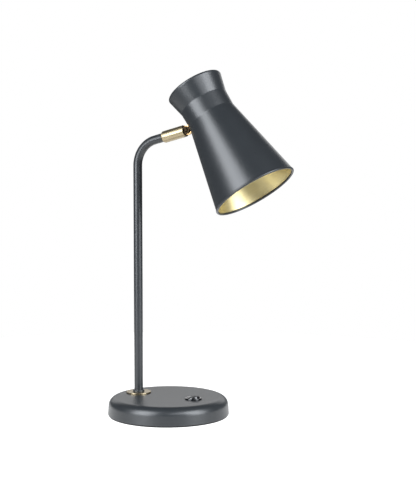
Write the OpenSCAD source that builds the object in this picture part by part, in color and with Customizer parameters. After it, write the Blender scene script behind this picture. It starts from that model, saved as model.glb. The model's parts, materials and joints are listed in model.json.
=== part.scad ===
// Desk lamp: round weighted base, bent tube stem, brass swivel and a waisted metal shade.
// Origin: centre of the underside, on the desk. +X: the way the arm points. +Z: up. Millimetres.

/* [Base] */
// Radius of the base at its lower edge
base_r = 82; // [68:0.5:100]
// Height of the base, from the desk to its flat top
base_h = 25.2; // [21:0.2:32]
// Radius of the rounded upper edge
base_edge_r = 11.7; // [6:0.1:12]
// How far the side leans in, from the foot to the rounded edge
base_draft = 0.8; // [0.2:0.1:2]
// Thickness of the pressed steel cover
cover_t = 1.4; // [1:0.1:2]
// Thickness of the rubber pad under the base
pad_t = 1.6; // [1.4:0.1:3]
// How far the pad stays inside the foot of the cover
pad_inset = 3; // [1:0.5:6]
// Thickness of the bottom plate
plate_t = 1.4; // [1:0.1:2]
// Height of the cast iron weight
weight_h = 12; // [6:0.5:13]
// Space between the weight and the cover's wall
weight_gap = 7; // [4:0.5:15]
// Width of the wiring channel through the weight
channel_w = 24; // [16:1:30]
// Radius of the pockets in the weight under the stem and the switch
pocket_r = 15; // [13:0.5:18]
// Radius of the posts that the bottom screws go into
post_r = 4; // [3.5:0.5:6]

/* [Stem] */
// Distance from the foot of the base's side in to the middle of the stem
stem_inset = 33.5; // [30:0.5:42]
// Outside diameter of the stem tube
tube_d = 12; // [10:0.5:14]
// Wall of the stem tube
tube_wall = 1; // [0.8:0.1:1.2]
// Height at which the tube starts to bend
bend_z = 336.6; // [250:1:450]
// Radius of the bend at the middle of the tube
bend_r = 35.7; // [28:1:60]
// Slope of the arm above level, in degrees
arm_slope = 14; // [5:1:25]
// Length of the arm, from the end of the bend to the tilt pivot
arm_len = 54.2; // [48:0.5:110]
// Diameter of the brass washer under the stem
washer_d = 34; // [24:1:40]
// Thickness of the brass washer
washer_t = 1.8; // [1:0.1:3]
// Diameter of the collar round the stem's foot
collar_d = 16; // [15:0.5:20]
// Height of the collar
collar_h = 2.5; // [1.5:0.1:5]
// Length of threaded nipple inside the tube
nipple_in_tube = 14; // [8:1:25]

/* [Swivel] */
// How much wider than the tube the brass barrel is
barrel_over = 4; // [3.6:0.1:7.2]
// Length of the barrel
barrel_len = 36; // [33:0.5:42]
// Depth to which the tube enters the barrel
tube_in_barrel = 15.9; // [13:0.1:16]
// Distance from the barrel's front face to the tilt pivot
pivot_ahead = 3.6; // [3.4:0.1:5]
// Radius of the knuckle's rounded ears
ear_r = 5; // [4:0.1:5.2]
// Thickness of each ear
ear_t = 2.35; // [2:0.1:3.2]
// Radius of the brass eye between the ears
eye_r = 6.6; // [5.6:0.1:6.8]
// Thickness of the eye
eye_t = 4; // [3:0.1:5]
// Thickness of the friction washers beside the eye
friction_t = 0.4; // [0.3:0.1:0.6]
// Diameter of the pivot screw
screw_d = 3; // [2.5:0.1:3.4]
// Diameter of the hollow shank that holds the shade
shank_d = 8; // [7:0.5:9]

/* [Shade] */
// Lean of the shade's axis from upright, in degrees
shade_lean = 33.85; // [15:1:60]
// Length of the shade along its axis
shade_len = 165.4; // [150:1:200]
// Radius of the closed top, at its corner
shade_top_r = 39.3; // [35:0.5:46]
// Radius of the waist at its upper crease
waist_top_r = 33; // [31:0.5:38]
// Radius of the waist at its lower crease
waist_low_r = 32.5; // [31:0.5:38]
// Distance from the top down to the upper crease
waist_top_s = 26.6; // [18:0.5:30]
// Distance from the top down to the lower crease
waist_low_s = 48.3; // [48:0.5:56]
// Radius of the mouth
mouth_r = 56.8; // [48:0.5:70]
// Rounding of the top corner
top_round = 2.5; // [2:0.5:6]
// Thickness of the spun sheet
sheet_t = 1; // [0.8:0.1:1.5]
// Radius of the rolled bead round the mouth
bead_r = 1.6; // [1.2:0.1:2.5]
// How far the bead stands proud of the cone
bead_proud = 0.45; // [0:0.05:1]
// Distance from the top down to the tilt pivot
pivot_s = 41.9; // [36:0.5:46]
// Distance from the waist's wall out to the tilt pivot
pivot_out = 7.3; // [7.2:0.1:12]

/* [Lampholder] */
// Distance from the shade's top down to the lampholder's back
holder_s = 13; // [11:0.5:20]
// Length of the lampholder
holder_len = 49; // [45:0.5:56]
// Radius of the lampholder's skirt
holder_r = 19; // [17.5:0.5:20]
// Radius of the lampholder's narrow back
holder_back_r = 15; // [13:0.5:17]
// Width of the bracket strip
bracket_w = 14; // [13:0.5:18]
// Thickness of the bracket strip
bracket_t = 1.5; // [1:0.1:2]

/* [Bulb] */
// Radius of the bulb's globe
globe_r = 30; // [22:0.5:31]
// Length of the bulb, from its contact to the tip of its globe
bulb_len = 105; // [95:1:108]
// Radius of the bulb's screw cap
cap_r = 13.2; // [12.5:0.1:13.3]

/* [Switch] */
// Distance from the foot of the base's side in to the middle of the switch
switch_inset = 42.6; // [36:0.2:52]
// Diameter of the switch's bezel
bezel_d = 23; // [22:0.5:25]
// Height of the bezel above the base
bezel_h = 2; // [1.5:0.1:3]
// Diameter of the hole that the switch snaps into
switch_hole_d = 20; // [19.6:0.1:21]
// Depth of the switch body below the top of the base
switch_depth = 12.5; // [11:0.5:13]
// Angle to which the rocker tips on each side, in degrees
rock_angle = 8; // [4:1:9]
// Radius of the rocker's ball-shaped side
rocker_r = 8.8; // [8.4:0.1:8.8]
// Height of the rocker's face above its pivot
rocker_face = 3.4; // [3:0.1:4]

/* [Wiring] */
// Diameter of one insulated lead
lead_d = 2.1; // [1.6:0.1:2.4]
// Distance between the two leads
lead_pitch = 4.8; // [4.2:0.1:5]
// Diameter of the mains cord's way through the gland
cord_hole_d = 6.4; // [5:0.1:6.6]
// Height of the gland's middle above the desk
gland_z = 8.9; // [8.6:0.1:9.2]

/* [Fits] */
// Radial clearance of what turns
turn_gap = 0.05; // [0.02:0.01:0.1]
// Radial clearance of what is screwed, pressed or snapped in
seat_gap = 0.03; // [0.02:0.01:0.1]
// Clearance of a free part in its hole
free_gap = 0.3; // [0.2:0.05:0.5]

/* [Hidden] */
$fn = 96;
over = 1;  // how far a cut runs past the face it opens
bend_lap = 0.8;  // degrees that a bend runs on inside the straight runs
bend_ease = 0.02;  // how much thinner a bend's wall is on each side

// Base: heights of its layers, and the middle of the rounded edge.
plate_top = pad_t + plate_t;
weight_top = plate_top + weight_h;
cover_in = base_h - cover_t;
edge_mid = [base_r - base_draft - base_edge_r, base_h - base_edge_r];
foot = [base_r, pad_t];
foot_run = foot - edge_mid;
lean_in = atan2(foot_run[1], foot_run[0]) + acos(base_edge_r / norm(foot_run));
edge_out = [cos(lean_in), sin(lean_in)];
plate_r = wall_r(cover_t, pad_t) - free_gap;
post_ring = edge_mid[0] - 7.4;
post_turns = [90, 210, 330];
bottom_screw_d = 4;
screw_head_r = 3.8;
screw_head_t = 1.3;

// Stem: the bend's end is where the arm starts, and the pivot is at the arm's end.
tube_r = tube_d / 2;
stem_back = base_r - stem_inset;
switch_fwd = base_r - switch_inset;
tube_in_r = tube_r - tube_wall;
tube_foot = base_h + washer_t;
bend_end = [-stem_back + bend_r * (1 - sin(arm_slope)), 0, bend_z + bend_r * cos(arm_slope)];
arm_way = [cos(arm_slope), 0, sin(arm_slope)];
pivot = bend_end + arm_len * arm_way;
nipple_r = tube_in_r - seat_gap;
nipple_hole_r = nipple_r + 0.1;
nipple_bore_r = lead_pitch / 2 + lead_d / 2 + 0.32;
lock_washer_t = 1.2;
stem_nut_t = 4;
nipple_low = cover_in - lock_washer_t - stem_nut_t - 1.6;

// Swivel: distances along the arm, from the end of the bend.
barrel_r = (tube_d + barrel_over) / 2;
barrel_front = arm_len - pivot_ahead;
barrel_back = barrel_front - barrel_len;
shoulder = 15;
tube_end = barrel_back + tube_in_barrel;
chamber_r = barrel_r - 1;
flange_t = 2;
spigot_len = 12;
knuckle_back = barrel_back + tube_in_barrel + flange_t + 2.6;
slot_w = eye_t + 2 * (friction_t + 0.05);
ear_out = slot_w / 2 + ear_t;
slot_depth = eye_r - pivot_ahead + 0.4;

// Shade: way of its axis, way from the axis to the pivot, and the middle of the top.
axis_way = [sin(shade_lean), 0, -cos(shade_lean)];
side_way = [-cos(shade_lean), 0, -sin(shade_lean)];
waist_r = waist_top_r + (waist_low_r - waist_top_r) * (pivot_s - waist_top_s) / (waist_low_s - waist_top_s);
pivot_r = waist_r + pivot_out;
shade_top = pivot - pivot_r * side_way - pivot_s * axis_way;
creases = [[shade_top_r, 0], [waist_top_r, waist_top_s], [waist_low_r, waist_low_s], [mouth_r, shade_len]];
top_slope = (shade_top_r - waist_top_r) / waist_top_s;
top_mid = [shade_top_r - top_round * (top_slope + sqrt(1 + top_slope * top_slope)), top_round];
top_out = unit([1, top_slope]);
bead_s = shade_len - bead_r;
cone_slope = (mouth_r - waist_low_r) / (shade_len - waist_low_s);
bead_mid = [mouth_r - cone_slope * bead_r - bead_r + bead_proud, bead_s];
boss_r = 5.2;
boss_face = pivot_r - ear_r - 0.7;
strip_out = sqrt(pow(waist_r - sheet_t, 2) - pow(bracket_w / 2, 2)) - 0.3;
strip_in = strip_out - bracket_t;
tongue_nut_t = 4;
shank_end = strip_in - tongue_nut_t - 0.6;

// Lampholder and bulb: distances along the shade's axis, from its top.
holder_mouth = holder_s + holder_len;
holder_floor = holder_s + 19;
thread_r = cap_r + 0.25;
shell_r = thread_r + 0.65;
holder_nipple_r = 4.95;
holder_nut_t = 3;
contact_s = holder_floor + 3;
cap_end = holder_mouth - 2;
globe_tip = contact_s + bulb_len;
globe_mid = globe_tip - globe_r;
globe_cut = globe_mid - 14;
globe_cut_r = sqrt(globe_r * globe_r - 14 * 14);
globe_wall = 1.2;

// Switch: height of the rocker's pivot, and the body's floor.
rocker_z = base_h + 0.2;
housing_r = switch_hole_d / 2 - 0.1;
opening_r = rocker_r + free_gap;
housing_low = base_h - switch_depth;
housing_floor = housing_low + 1.6;
trunnion_r = 1.2;
blade_t = 0.8;
blade_w = 4.8;
bridge_z = housing_floor + 1.2;
bridge_t = 0.6;

// Wiring: height of the leads in the channel, and the block on the bottom plate.
lead_r = lead_d / 2;
lead_z = plate_top + 3.5;
lead_bend = 9;
block = [20, 13, 9];
block_x = 30.5 - stem_back;
block_ear_t = 3;
block_screw_r = 1.5;
block_ear_y = block[1] / 2 + 2.4;
gland_neck_r = cord_hole_d / 2 + 1.4;
gland_out = 2.4;
gland_len = 7.6;
entry_s = holder_s + 6;
drop_x = holder_r + lead_r + 0.8;

function unit(v) = v / norm(v);
// Radius of the cover's leaning side at height z, a depth g inside its skin.
function wall_r(g, z) = let (p = edge_mid + (base_edge_r - g) * edge_out) p[0] + tan(lean_in) * (p[1] - z);
// Unit normal towards the axis of a profile line that runs from a to b.
function inward(a, b) = let (u = unit(b - a)) [-u[1], u[0]];
// Corner b of the profile a, b, c, moved a depth g inwards on both of its lines.
function mitre(a, b, c, g) = let (n = inward(a, b), m = inward(b, c)) b + g * (n + m) / (1 + n * m);

// Places its children on the arm: +Z along it, from a point at distance s past the bend.
module on_arm(s = 0) translate(bend_end + s * arm_way) rotate([0, 90 - arm_slope, 0]) children();

// Places its children on the shade's axis: +Z towards the mouth, +X towards the pivot.
module on_shade(s = 0) translate(shade_top + s * axis_way) rotate([0, 180 - shade_lean, 0]) children();

// Places its children at the pivot: +X along the arm, +Y along the pivot screw.
module on_pivot() translate(pivot) rotate([0, -arm_slope, 0]) children();

// A round rod or tube from height low, round the stem's bend, to distance high along the arm.
module bent_run(r_out, r_in, low, high) {
    translate([-stem_back, 0, low]) straight_run(r_out, r_in, bend_z - low);
    translate([bend_r - stem_back, 0, bend_z]) turned_run(r_out, r_in, bend_r, 90 + arm_slope, 180);
    on_arm() straight_run(r_out, r_in, high);
}

module straight_run(r_out, r_in, h) rotate_extrude() translate([r_in, 0]) square([r_out - r_in, h]);

// A bend in the XZ plane. Its wall is a hair thinner, so its ends lap inside the straight runs.
module turned_run(r_out, r_in, turn_r, from, to) rotate([90, 0, 0]) rotate([0, 0, from - bend_lap])
    rotate_extrude(angle = to - from + 2 * bend_lap) translate([turn_r, 0]) difference() {
        circle(r = r_out - bend_ease);
        if (r_in > 0) circle(r = r_in + bend_ease);
    }

// Half of the base's outline, a depth g inside its skin, from height low up.
module base_outline(g, low) {
    polygon([
        [0, low], [wall_r(g, low), low], edge_mid + (base_edge_r - g) * edge_out, edge_mid,
        [edge_mid[0], base_h - g], [0, base_h - g],
    ]);
    translate(edge_mid) circle(r = base_edge_r - g);
}

// Half of the shade's outline, a depth g inside its skin, down to a distance past the mouth.
module shade_outline(g, past) {
    last = creases[3] + g * inward(creases[2], creases[3]);
    polygon([
        [0, g], [top_mid[0], g], top_mid, top_mid + (top_round - g) * top_out,
        mitre(creases[0], creases[1], creases[2], g), mitre(creases[1], creases[2], creases[3], g),
        last + past * unit(creases[3] - creases[2]), [0, last[1]],
    ]);
    translate(top_mid) circle(r = top_round - g);
}

module at_posts() for (turn = post_turns) rotate([0, 0, turn]) translate([post_ring, 0, 0]) children();

module at_leads() for (side = [-1, 1]) translate([0, side * lead_pitch / 2, 0]) children();

module hex_nut(flats, t, hole_r) difference() {
    cylinder(r = flats / sqrt(3), h = t, $fn = 6);
    translate([0, 0, -over]) cylinder(r = hole_r, h = t + 2 * over);
}

module ring(r_out, r_in, t) difference() {
    cylinder(r = r_out, h = t);
    translate([0, 0, -over]) cylinder(r = r_in, h = t + 2 * over);
}

// ---- Base ----

module base_cover() color("#4a4e51") difference() {
    rotate_extrude() difference() {
        base_outline(0, pad_t);
        base_outline(cover_t, pad_t - over);
    }
    translate([-stem_back, 0, cover_in - over]) cylinder(r = nipple_hole_r, h = cover_t + 2 * over);
    translate([switch_fwd, 0, cover_in - over]) cylinder(r = switch_hole_d / 2, h = cover_t + 2 * over);
    gland_hole(gland_neck_r + seat_gap);
}

// A round hole through the rear wall, along X.
module gland_hole(r) translate([-base_r - 4, 0, gland_z]) rotate([0, 90, 0]) cylinder(r = r, h = 14);

module base_weight() color("#3c3b39") difference() {
    weight_r = wall_r(cover_t, weight_top) - weight_gap;
    translate([0, 0, plate_top]) cylinder(r = weight_r, h = weight_h);
    translate([-base_r, -channel_w / 2, plate_top - over])
        cube([base_r + switch_fwd, channel_w, weight_h + 2 * over]);
    for (x = [-stem_back, switch_fwd])
        translate([x, 0, plate_top - over]) cylinder(r = pocket_r, h = weight_h + 2 * over);
    at_posts() translate([0, 0, plate_top - over])
        cylinder(r = bottom_screw_d / 2 + free_gap, h = weight_h + 2 * over);
}

module base_plate() color("#8d9093") difference() {
    translate([0, 0, pad_t]) cylinder(r = plate_r, h = plate_t);
    at_posts() translate([0, 0, pad_t - over])
        cylinder(r = bottom_screw_d / 2 + free_gap, h = plate_t + 2 * over);
    translate([block_x, block_ear_y, pad_t - over])
        cylinder(r = block_screw_r + seat_gap, h = plate_t + 2 * over, $fn = 32);
}

module base_pad() color("#1d1d1e") difference() {
    cylinder(r = base_r - pad_inset, h = pad_t);
    at_posts() translate([0, 0, -over]) cylinder(r = screw_head_r + 0.8, h = pad_t + 2 * over);
}

module cover_posts() color("#8d9093") at_posts() translate([0, 0, weight_top])
    ring(post_r, bottom_screw_d / 2 + seat_gap, cover_in - weight_top);

module plate_screws() color("#a9acae") at_posts() difference() {
    union() {
        translate([0, 0, pad_t - screw_head_t]) cylinder(r = screw_head_r, h = screw_head_t);
        translate([0, 0, pad_t]) cylinder(r = bottom_screw_d / 2, h = weight_top + 4 - pad_t);
    }
    for (turn = [0, 90]) rotate([0, 0, turn])
        translate([-2.2, -0.4, pad_t - screw_head_t - over]) cube([4.4, 0.8, 0.7 + over]);
}

// A bush that holds the rear wall between its two lips and lets the mains cord through.
module cord_gland() color("#1b1b1c") {
    lip_r = gland_neck_r + 1;
    outer_lip = wall_r(0, gland_z - lip_r) + seat_gap;
    inner_lip = wall_r(cover_t, gland_z + lip_r) - 0.3;
    translate([-outer_lip - gland_out, 0, gland_z]) rotate([0, 90, 0]) difference() {
        union() {
            cylinder(r1 = lip_r - 1, r2 = lip_r, h = 1);
            translate([0, 0, 1]) cylinder(r = lip_r, h = gland_out - 1);
            cylinder(r = gland_neck_r, h = gland_len);
            translate([0, 0, gland_out + outer_lip - inner_lip])
                cylinder(r = lip_r, h = gland_len - gland_out - outer_lip + inner_lip);
        }
        translate([0, 0, -over]) cylinder(r = cord_hole_d / 2, h = gland_len + 2 * over);
    }
}

// ---- Wiring in the base ----

module block_bore(r, z0, l) translate([block_x - block[0] / 2 + z0, 0, lead_z])
    rotate([0, 90, 0]) cylinder(r = r, h = l, $fn = 32);

module at_block_screws() for (x = [-6.5, 6.5]) translate([block_x + x, 0, 0]) at_leads() children();

module terminal_block() color("#e6e3da") difference() {
    union() {
        translate([block_x - block[0] / 2, -block[1] / 2, plate_top]) cube(block);
        translate([block_x - 3.5, 0, plate_top]) cube([7, block_ear_y + 2.9, block_ear_t]);
    }
    at_leads() block_bore(1.85 + seat_gap, -over, block[0] + 2 * over);
    at_block_screws() translate([0, 0, lead_z]) cylinder(r = 1.3, h = block[2], $fn = 32);
    translate([block_x, block_ear_y, plate_top - over])
        cylinder(r = block_screw_r + seat_gap, h = block_ear_t + 2 * over, $fn = 32);
}

module terminal_tubes() color("#c9a557") difference() {
    at_leads() block_bore(1.85, 1, block[0] - 2);
    at_leads() block_bore(lead_r + seat_gap, 0, block[0]);
    at_block_screws() translate([0, 0, lead_z]) cylinder(r = 1 + seat_gap, h = block[2], $fn = 32);
}

module terminal_screws() color("#a9acae") at_block_screws() difference() {
    union() {
        translate([0, 0, lead_z + lead_r + seat_gap]) cylinder(r = 1, h = 3.4, $fn = 32);
        translate([0, 0, lead_z + lead_r + 1.8]) cylinder(r = 1.2, h = 2, $fn = 32);
    }
    translate([-1.5, -0.25, lead_z + lead_r + 3.2]) cube([3, 0.5, over]);
}

module block_screw() color("#a9acae") translate([block_x, block_ear_y, 0]) {
    translate([0, 0, pad_t]) cylinder(r = block_screw_r, h = plate_t + block_ear_t, $fn = 32);
    translate([0, 0, plate_top + block_ear_t]) cylinder(r1 = 2.3, r2 = 1.8, h = 1.6, $fn = 32);
}

module switch_leads() color("#7a3b2a") at_leads() {
    start = block_x + block[0] / 2 - 6;
    translate([start, 0, lead_z]) rotate([0, 90, 0])
        cylinder(r = lead_r, h = switch_fwd - blade_w / 2 - start, $fn = 32);
}

// ---- Switch ----

module switch_housing() color("#0f0f10") translate([switch_fwd, 0, 0]) difference() {
    union() {
        translate([0, 0, housing_low]) cylinder(r = housing_r, h = base_h - housing_low);
        translate([0, 0, base_h]) rotate_extrude() {
            square([bezel_d / 2 - 1, bezel_h]);
            square([bezel_d / 2, bezel_h - 1]);
            translate([bezel_d / 2 - 1, bezel_h - 1]) circle(r = 1);
        }
    }
    translate([0, 0, housing_floor]) cylinder(r = opening_r, h = base_h + bezel_h + over - housing_floor);
    translate([0, 0, rocker_z]) rotate([90, 0, 0])
        translate([0, 0, -opening_r - 0.8]) cylinder(r = trunnion_r + turn_gap, h = 2 * opening_r + 1.6);
    at_leads() translate([-blade_w / 2 - 0.05, -blade_t / 2 - 0.05, housing_low - over])
        cube([blade_w + 0.1, blade_t + 0.1, 4]);
}

module switch_terminals() color("#c9a557") translate([switch_fwd, 0, 0]) at_leads()
    translate([-blade_w / 2, -blade_t / 2, lead_z - 1.4])
        cube([blade_w, blade_t, bridge_z - lead_z + 1.4]);

module switch_bridge() color("#c9a557")
    translate([switch_fwd - 1.8, -lead_pitch / 2 - 1, bridge_z]) cube([3.6, lead_pitch + 2, bridge_t]);

module on_rocker() translate([switch_fwd, 0, rocker_z]) rotate([0, -rock_angle, 0]) children();

module switch_rocker() color("#0b0b0c") on_rocker() difference() {
    union() {
        intersection() {
            sphere(r = rocker_r);
            translate([-rocker_r, -rocker_r, -3.5]) cube([2 * rocker_r, 2 * rocker_r, 3.5 + rocker_face]);
        }
        rotate([90, 0, 0]) translate([0, 0, -opening_r - 0.7])
            cylinder(r = trunnion_r, h = 2 * opening_r + 1.4);
    }
    translate([0, 0, rocker_face + 40 - 0.7]) rotate([90, 0, 0])
        translate([0, 0, -rocker_r]) cylinder(r = 40, h = 2 * rocker_r, $fn = 180);
    translate([0, 0, -3.5 - over]) cylinder(r = 1.5 + seat_gap, h = 3 + over, $fn = 32);
}

module switch_plunger() color("#d8d4c8") on_rocker() {
    reach = rocker_z - bridge_z - bridge_t - 0.3;
    translate([0, 0, -reach]) cylinder(r = 1.5, h = reach - 0.5, $fn = 32);
}

// ---- Stem ----

module stem() color("#4a4e51") bent_run(tube_r, tube_in_r, tube_foot, tube_end);

module stem_washer() color("#c9a557") translate([-stem_back, 0, base_h])
    ring(washer_d / 2, nipple_hole_r, washer_t);

module stem_collar() color("#2f3234") translate([-stem_back, 0, tube_foot]) difference() {
    rotate_extrude() {
        square([collar_d / 2 - 0.6, collar_h]);
        square([collar_d / 2, collar_h - 0.6]);
        translate([collar_d / 2 - 0.6, collar_h - 0.6]) circle(r = 0.6);
    }
    translate([0, 0, -over]) cylinder(r = tube_r + seat_gap, h = collar_h + 2 * over);
}

module stem_nipple() color("#c9a557") translate([-stem_back, 0, nipple_low])
    ring(nipple_r, nipple_bore_r, tube_foot + nipple_in_tube - nipple_low);

module stem_lock_washer() color("#a9acae") translate([-stem_back, 0, cover_in - lock_washer_t])
    ring(9, nipple_r + seat_gap, lock_washer_t);

module stem_nut() color("#a9acae") translate([-stem_back, 0, cover_in - lock_washer_t - stem_nut_t])
    hex_nut(17, stem_nut_t, nipple_r + seat_gap);

// Two leads: out of the block, up through the stem and along the arm into the barrel.
module stem_leads() color("#7a3b2a") at_leads() {
    start = block_x - block[0] / 2 + 6;
    turn_x = lead_bend - stem_back;
    translate([turn_x, 0, lead_z]) rotate([0, 90, 0]) straight_run(lead_r, 0, start - turn_x);
    translate([turn_x, 0, lead_z + lead_bend]) turned_run(lead_r, 0, lead_bend, 180, 270);
    bent_run(lead_r, 0, lead_z + lead_bend, tube_end + flange_t + 1);
}

// ---- Swivel ----

// A bush pressed into the end of the tube. Its flange keeps the barrel from pulling off.
module swivel_spigot() color("#b8964d") on_arm() difference() {
    union() {
        translate([0, 0, tube_end - spigot_len]) cylinder(r = tube_in_r - seat_gap, h = spigot_len);
        translate([0, 0, tube_end]) cylinder(r = chamber_r - free_gap, h = flange_t);
    }
    translate([0, 0, tube_end - spigot_len - over])
        cylinder(r = lead_pitch / 2 + lead_r + 0.25, h = spigot_len + flange_t + 2 * over);
}

module swivel_spring_washer() color("#a9acae") on_arm(barrel_back + shoulder + 0.05)
    ring(chamber_r - free_gap, tube_r + seat_gap, tube_in_barrel - shoulder - 0.1);

// A plate that clears the eye: the slot through the barrel and the knuckle.
module eye_slot() on_pivot() translate([-pivot_ahead - slot_depth, -slot_w / 2, -barrel_r - over])
    cube([slot_depth + over, slot_w, 2 * (barrel_r + over)]);

module swivel_barrel() color("#d9c48c") difference() {
    on_arm(barrel_back) rotate_extrude() polygon([
        [0, 0], [barrel_r - 1.8, 0], [barrel_r, 2.2], [barrel_r, barrel_len - 0.6],
        [barrel_r - 0.6, barrel_len], [0, barrel_len],
    ]);
    on_arm(barrel_back - over) cylinder(r = tube_r + turn_gap, h = barrel_len);
    on_arm(barrel_back + shoulder) cylinder(r = chamber_r, h = barrel_len);
    eye_slot();
}

module swivel_knuckle() color("#2a2622") difference() {
    union() {
        on_arm(knuckle_back) cylinder(r = chamber_r - seat_gap, h = barrel_front - knuckle_back);
        on_pivot() rotate([90, 0, 0]) translate([0, 0, -ear_out]) linear_extrude(2 * ear_out) {
            circle(r = ear_r);
            translate([-pivot_ahead - 0.5, -ear_r]) square([pivot_ahead + 0.5, 2 * ear_r]);
        }
    }
    eye_slot();
    on_pivot() translate([-pivot_ahead, -slot_w / 2, -barrel_r])
        cube([pivot_ahead + ear_r + over, slot_w, 2 * barrel_r]);
    on_pivot() rotate([90, 0, 0]) translate([0, 0, -ear_out - over])
        cylinder(r = screw_d / 2 + seat_gap, h = 2 * (ear_out + over));
    on_arm(knuckle_back - over) cylinder(r = 3.6, h = barrel_front - knuckle_back);
}

module pivot_screw() color("#8f8a80") on_pivot() rotate([90, 0, 0]) difference() {
    union() {
        translate([0, 0, -ear_out - 2.6]) cylinder(r = screw_d / 2, h = 2 * ear_out + 2.6);
        translate([0, 0, ear_out]) cylinder(r1 = screw_d, r2 = screw_d * 0.7, h = 1.7);
    }
    translate([-screw_d, -0.4, ear_out + 0.9]) cube([2 * screw_d, 0.8, 2]);
}

module pivot_nut() color("#8f8a80") on_pivot() rotate([-90, 0, 0]) translate([0, 0, ear_out])
    hex_nut(screw_d * 1.83, 2.2, screw_d / 2 + seat_gap);

module friction_washers() color("#e8e4da") on_pivot() for (turn = [90, -90])
    rotate([turn, 0, 0]) translate([0, 0, eye_t / 2 + 0.03])
        ring(ear_r - 0.6, screw_d / 2 + seat_gap, friction_t);

// ---- Head ----

// The eye, its boss on the waist and the hollow shank that goes through the wall.
module shade_tongue() color("#d9b765") on_shade(pivot_s) difference() {
    union() {
        translate([pivot_r, 0, 0]) rotate([90, 0, 0])
            translate([0, 0, -eye_t / 2]) cylinder(r = eye_r, h = eye_t);
        rotate([0, 90, 0]) translate([0, 0, waist_r - sheet_t])
            cylinder(r = shank_d / 2, h = boss_face - waist_r);
        rotate([0, 90, 0]) translate([0, 0, shank_end])
            cylinder(r = shank_d / 2, h = waist_r - shank_end);
        difference() {
            rotate([0, 90, 0]) translate([0, 0, waist_r - 2])
                cylinder(r = boss_r, h = boss_face - waist_r + 2);
            translate([0, 0, -pivot_s]) rotate_extrude() shade_outline(-seat_gap, 0);
        }
    }
    translate([pivot_r, 0, 0]) rotate([90, 0, 0])
        translate([0, 0, -eye_t]) cylinder(r = screw_d / 2 + turn_gap, h = 2 * eye_t);
    rotate([0, 90, 0]) translate([0, 0, shank_end - over])
        cylinder(r = shank_d / 2 - 1.6, h = waist_r - shank_end + over, $fn = 48);
}

module tongue_nut() color("#a9acae") on_shade(pivot_s) rotate([0, 90, 0])
    translate([0, 0, strip_in - tongue_nut_t]) hex_nut(13, tongue_nut_t, shank_d / 2 + seat_gap);

module shade() color("#4a4e51") on_shade() difference() {
    rotate_extrude() {
        difference() {
            intersection() {
                shade_outline(0, 0);
                square([mouth_r + over, bead_s]);
            }
            shade_outline(sheet_t, 10);
        }
        translate(bead_mid) circle(r = bead_r, $fn = 48);
    }
    translate([0, 0, pivot_s]) rotate([0, 90, 0]) cylinder(r = shank_d / 2 + 0.1, h = mouth_r);
}

// A strip bent to an L: one leg on the inside of the waist, the other across to the axis.
module holder_bracket() color("#8d9093") on_shade() difference() {
    translate([0, bracket_w / 2, 0]) rotate([90, 0, 0]) linear_extrude(bracket_w) difference() {
        union() {
            translate([-8, holder_s - bracket_t]) square([strip_out - 4 + 8, bracket_t]);
            translate([strip_in, holder_s - bracket_t + 4])
                square([bracket_t, pivot_s + 5 - holder_s + bracket_t]);
            intersection() {
                translate([strip_out - 4, holder_s - bracket_t + 4]) circle(r = 4, $fn = 64);
                translate([strip_out - 4, holder_s - bracket_t]) square(4);
            }
        }
        intersection() {
            translate([strip_out - 4, holder_s - bracket_t + 4]) circle(r = 4 - bracket_t, $fn = 64);
            translate([strip_out - 4 - over, holder_s]) square(4 + over);
        }
    }
    translate([0, 0, holder_s - bracket_t - over])
        cylinder(r = holder_nipple_r + 0.15, h = bracket_t + 2 * over);
    translate([0, 0, pivot_s]) rotate([0, 90, 0]) cylinder(r = shank_d / 2 + 0.15, h = mouth_r);
}

module holder_nipple() color("#c9a557") on_shade(holder_s - bracket_t - holder_nut_t - 1)
    ring(holder_nipple_r, holder_nipple_r - 1.3, bracket_t + holder_nut_t + 7);

module holder_nut() color("#a9acae") on_shade(holder_s - bracket_t - holder_nut_t)
    hex_nut(14, holder_nut_t, holder_nipple_r + seat_gap);

module lampholder() color("#1a1a1b") on_shade() difference() {
    rotate_extrude() {
        translate([0, holder_s]) square([holder_back_r, 15]);
        translate([0, holder_s + 16]) square([holder_r, holder_len - 17]);
        translate([holder_r - 2, holder_s + 16]) circle(r = 2, $fn = 48);
        translate([0, holder_s + 14]) square([holder_r - 1, holder_len - 14]);
    }
    translate([0, 0, holder_floor]) cylinder(r = shell_r + seat_gap, h = holder_len);
    translate([0, 0, holder_s - over]) cylinder(r = holder_nipple_r + seat_gap, h = 6.2 + over);
    at_lead_pair() translate([holder_back_r - 5, 0, entry_s]) rotate([0, 90, 0])
        cylinder(r = lead_r + 0.2, h = holder_r, $fn = 32);
}

module holder_thread() color("#c9a557") on_shade(holder_floor + 3.4)
    ring(shell_r, thread_r, cap_end - holder_floor - 3.4);

module holder_contact() color("#c9a557") on_shade(holder_floor) {
    cylinder(r = 5, h = 1, $fn = 48);
    translate([0, 0, 1]) cylinder(r1 = 4, r2 = 2.6, h = 2, $fn = 48);
}

// Two leads: out of the shank, up beside the lampholder and into its back.
module holder_leads() color("#7a3b2a") on_shade() at_lead_pair() {
    drop_r = 3.4;
    turn_s = pivot_s - drop_r;
    dip_s = entry_s + drop_r;
    translate([drop_x + drop_r, 0, pivot_s]) rotate([0, 90, 0]) straight_run(lead_r, 0, 3);
    translate([drop_x + drop_r, 0, turn_s]) turned_run(lead_r, 0, drop_r, 90, 180);
    translate([drop_x, 0, dip_s]) straight_run(lead_r, 0, turn_s - dip_s);
    translate([drop_x - drop_r, 0, dip_s]) turned_run(lead_r, 0, drop_r, -90, 0);
    translate([holder_back_r - 4, 0, entry_s]) rotate([0, 90, 0])
        straight_run(lead_r, 0, drop_x - drop_r - holder_back_r + 4);
}

module at_lead_pair() for (side = [-1, 1]) translate([0, side * (lead_r + 0.1), 0]) children();

// ---- Bulb ----

module bulb_contact() color("#b9bbbd") on_shade(contact_s) cylinder(r = 4, h = 1.4, $fn = 48);

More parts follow.
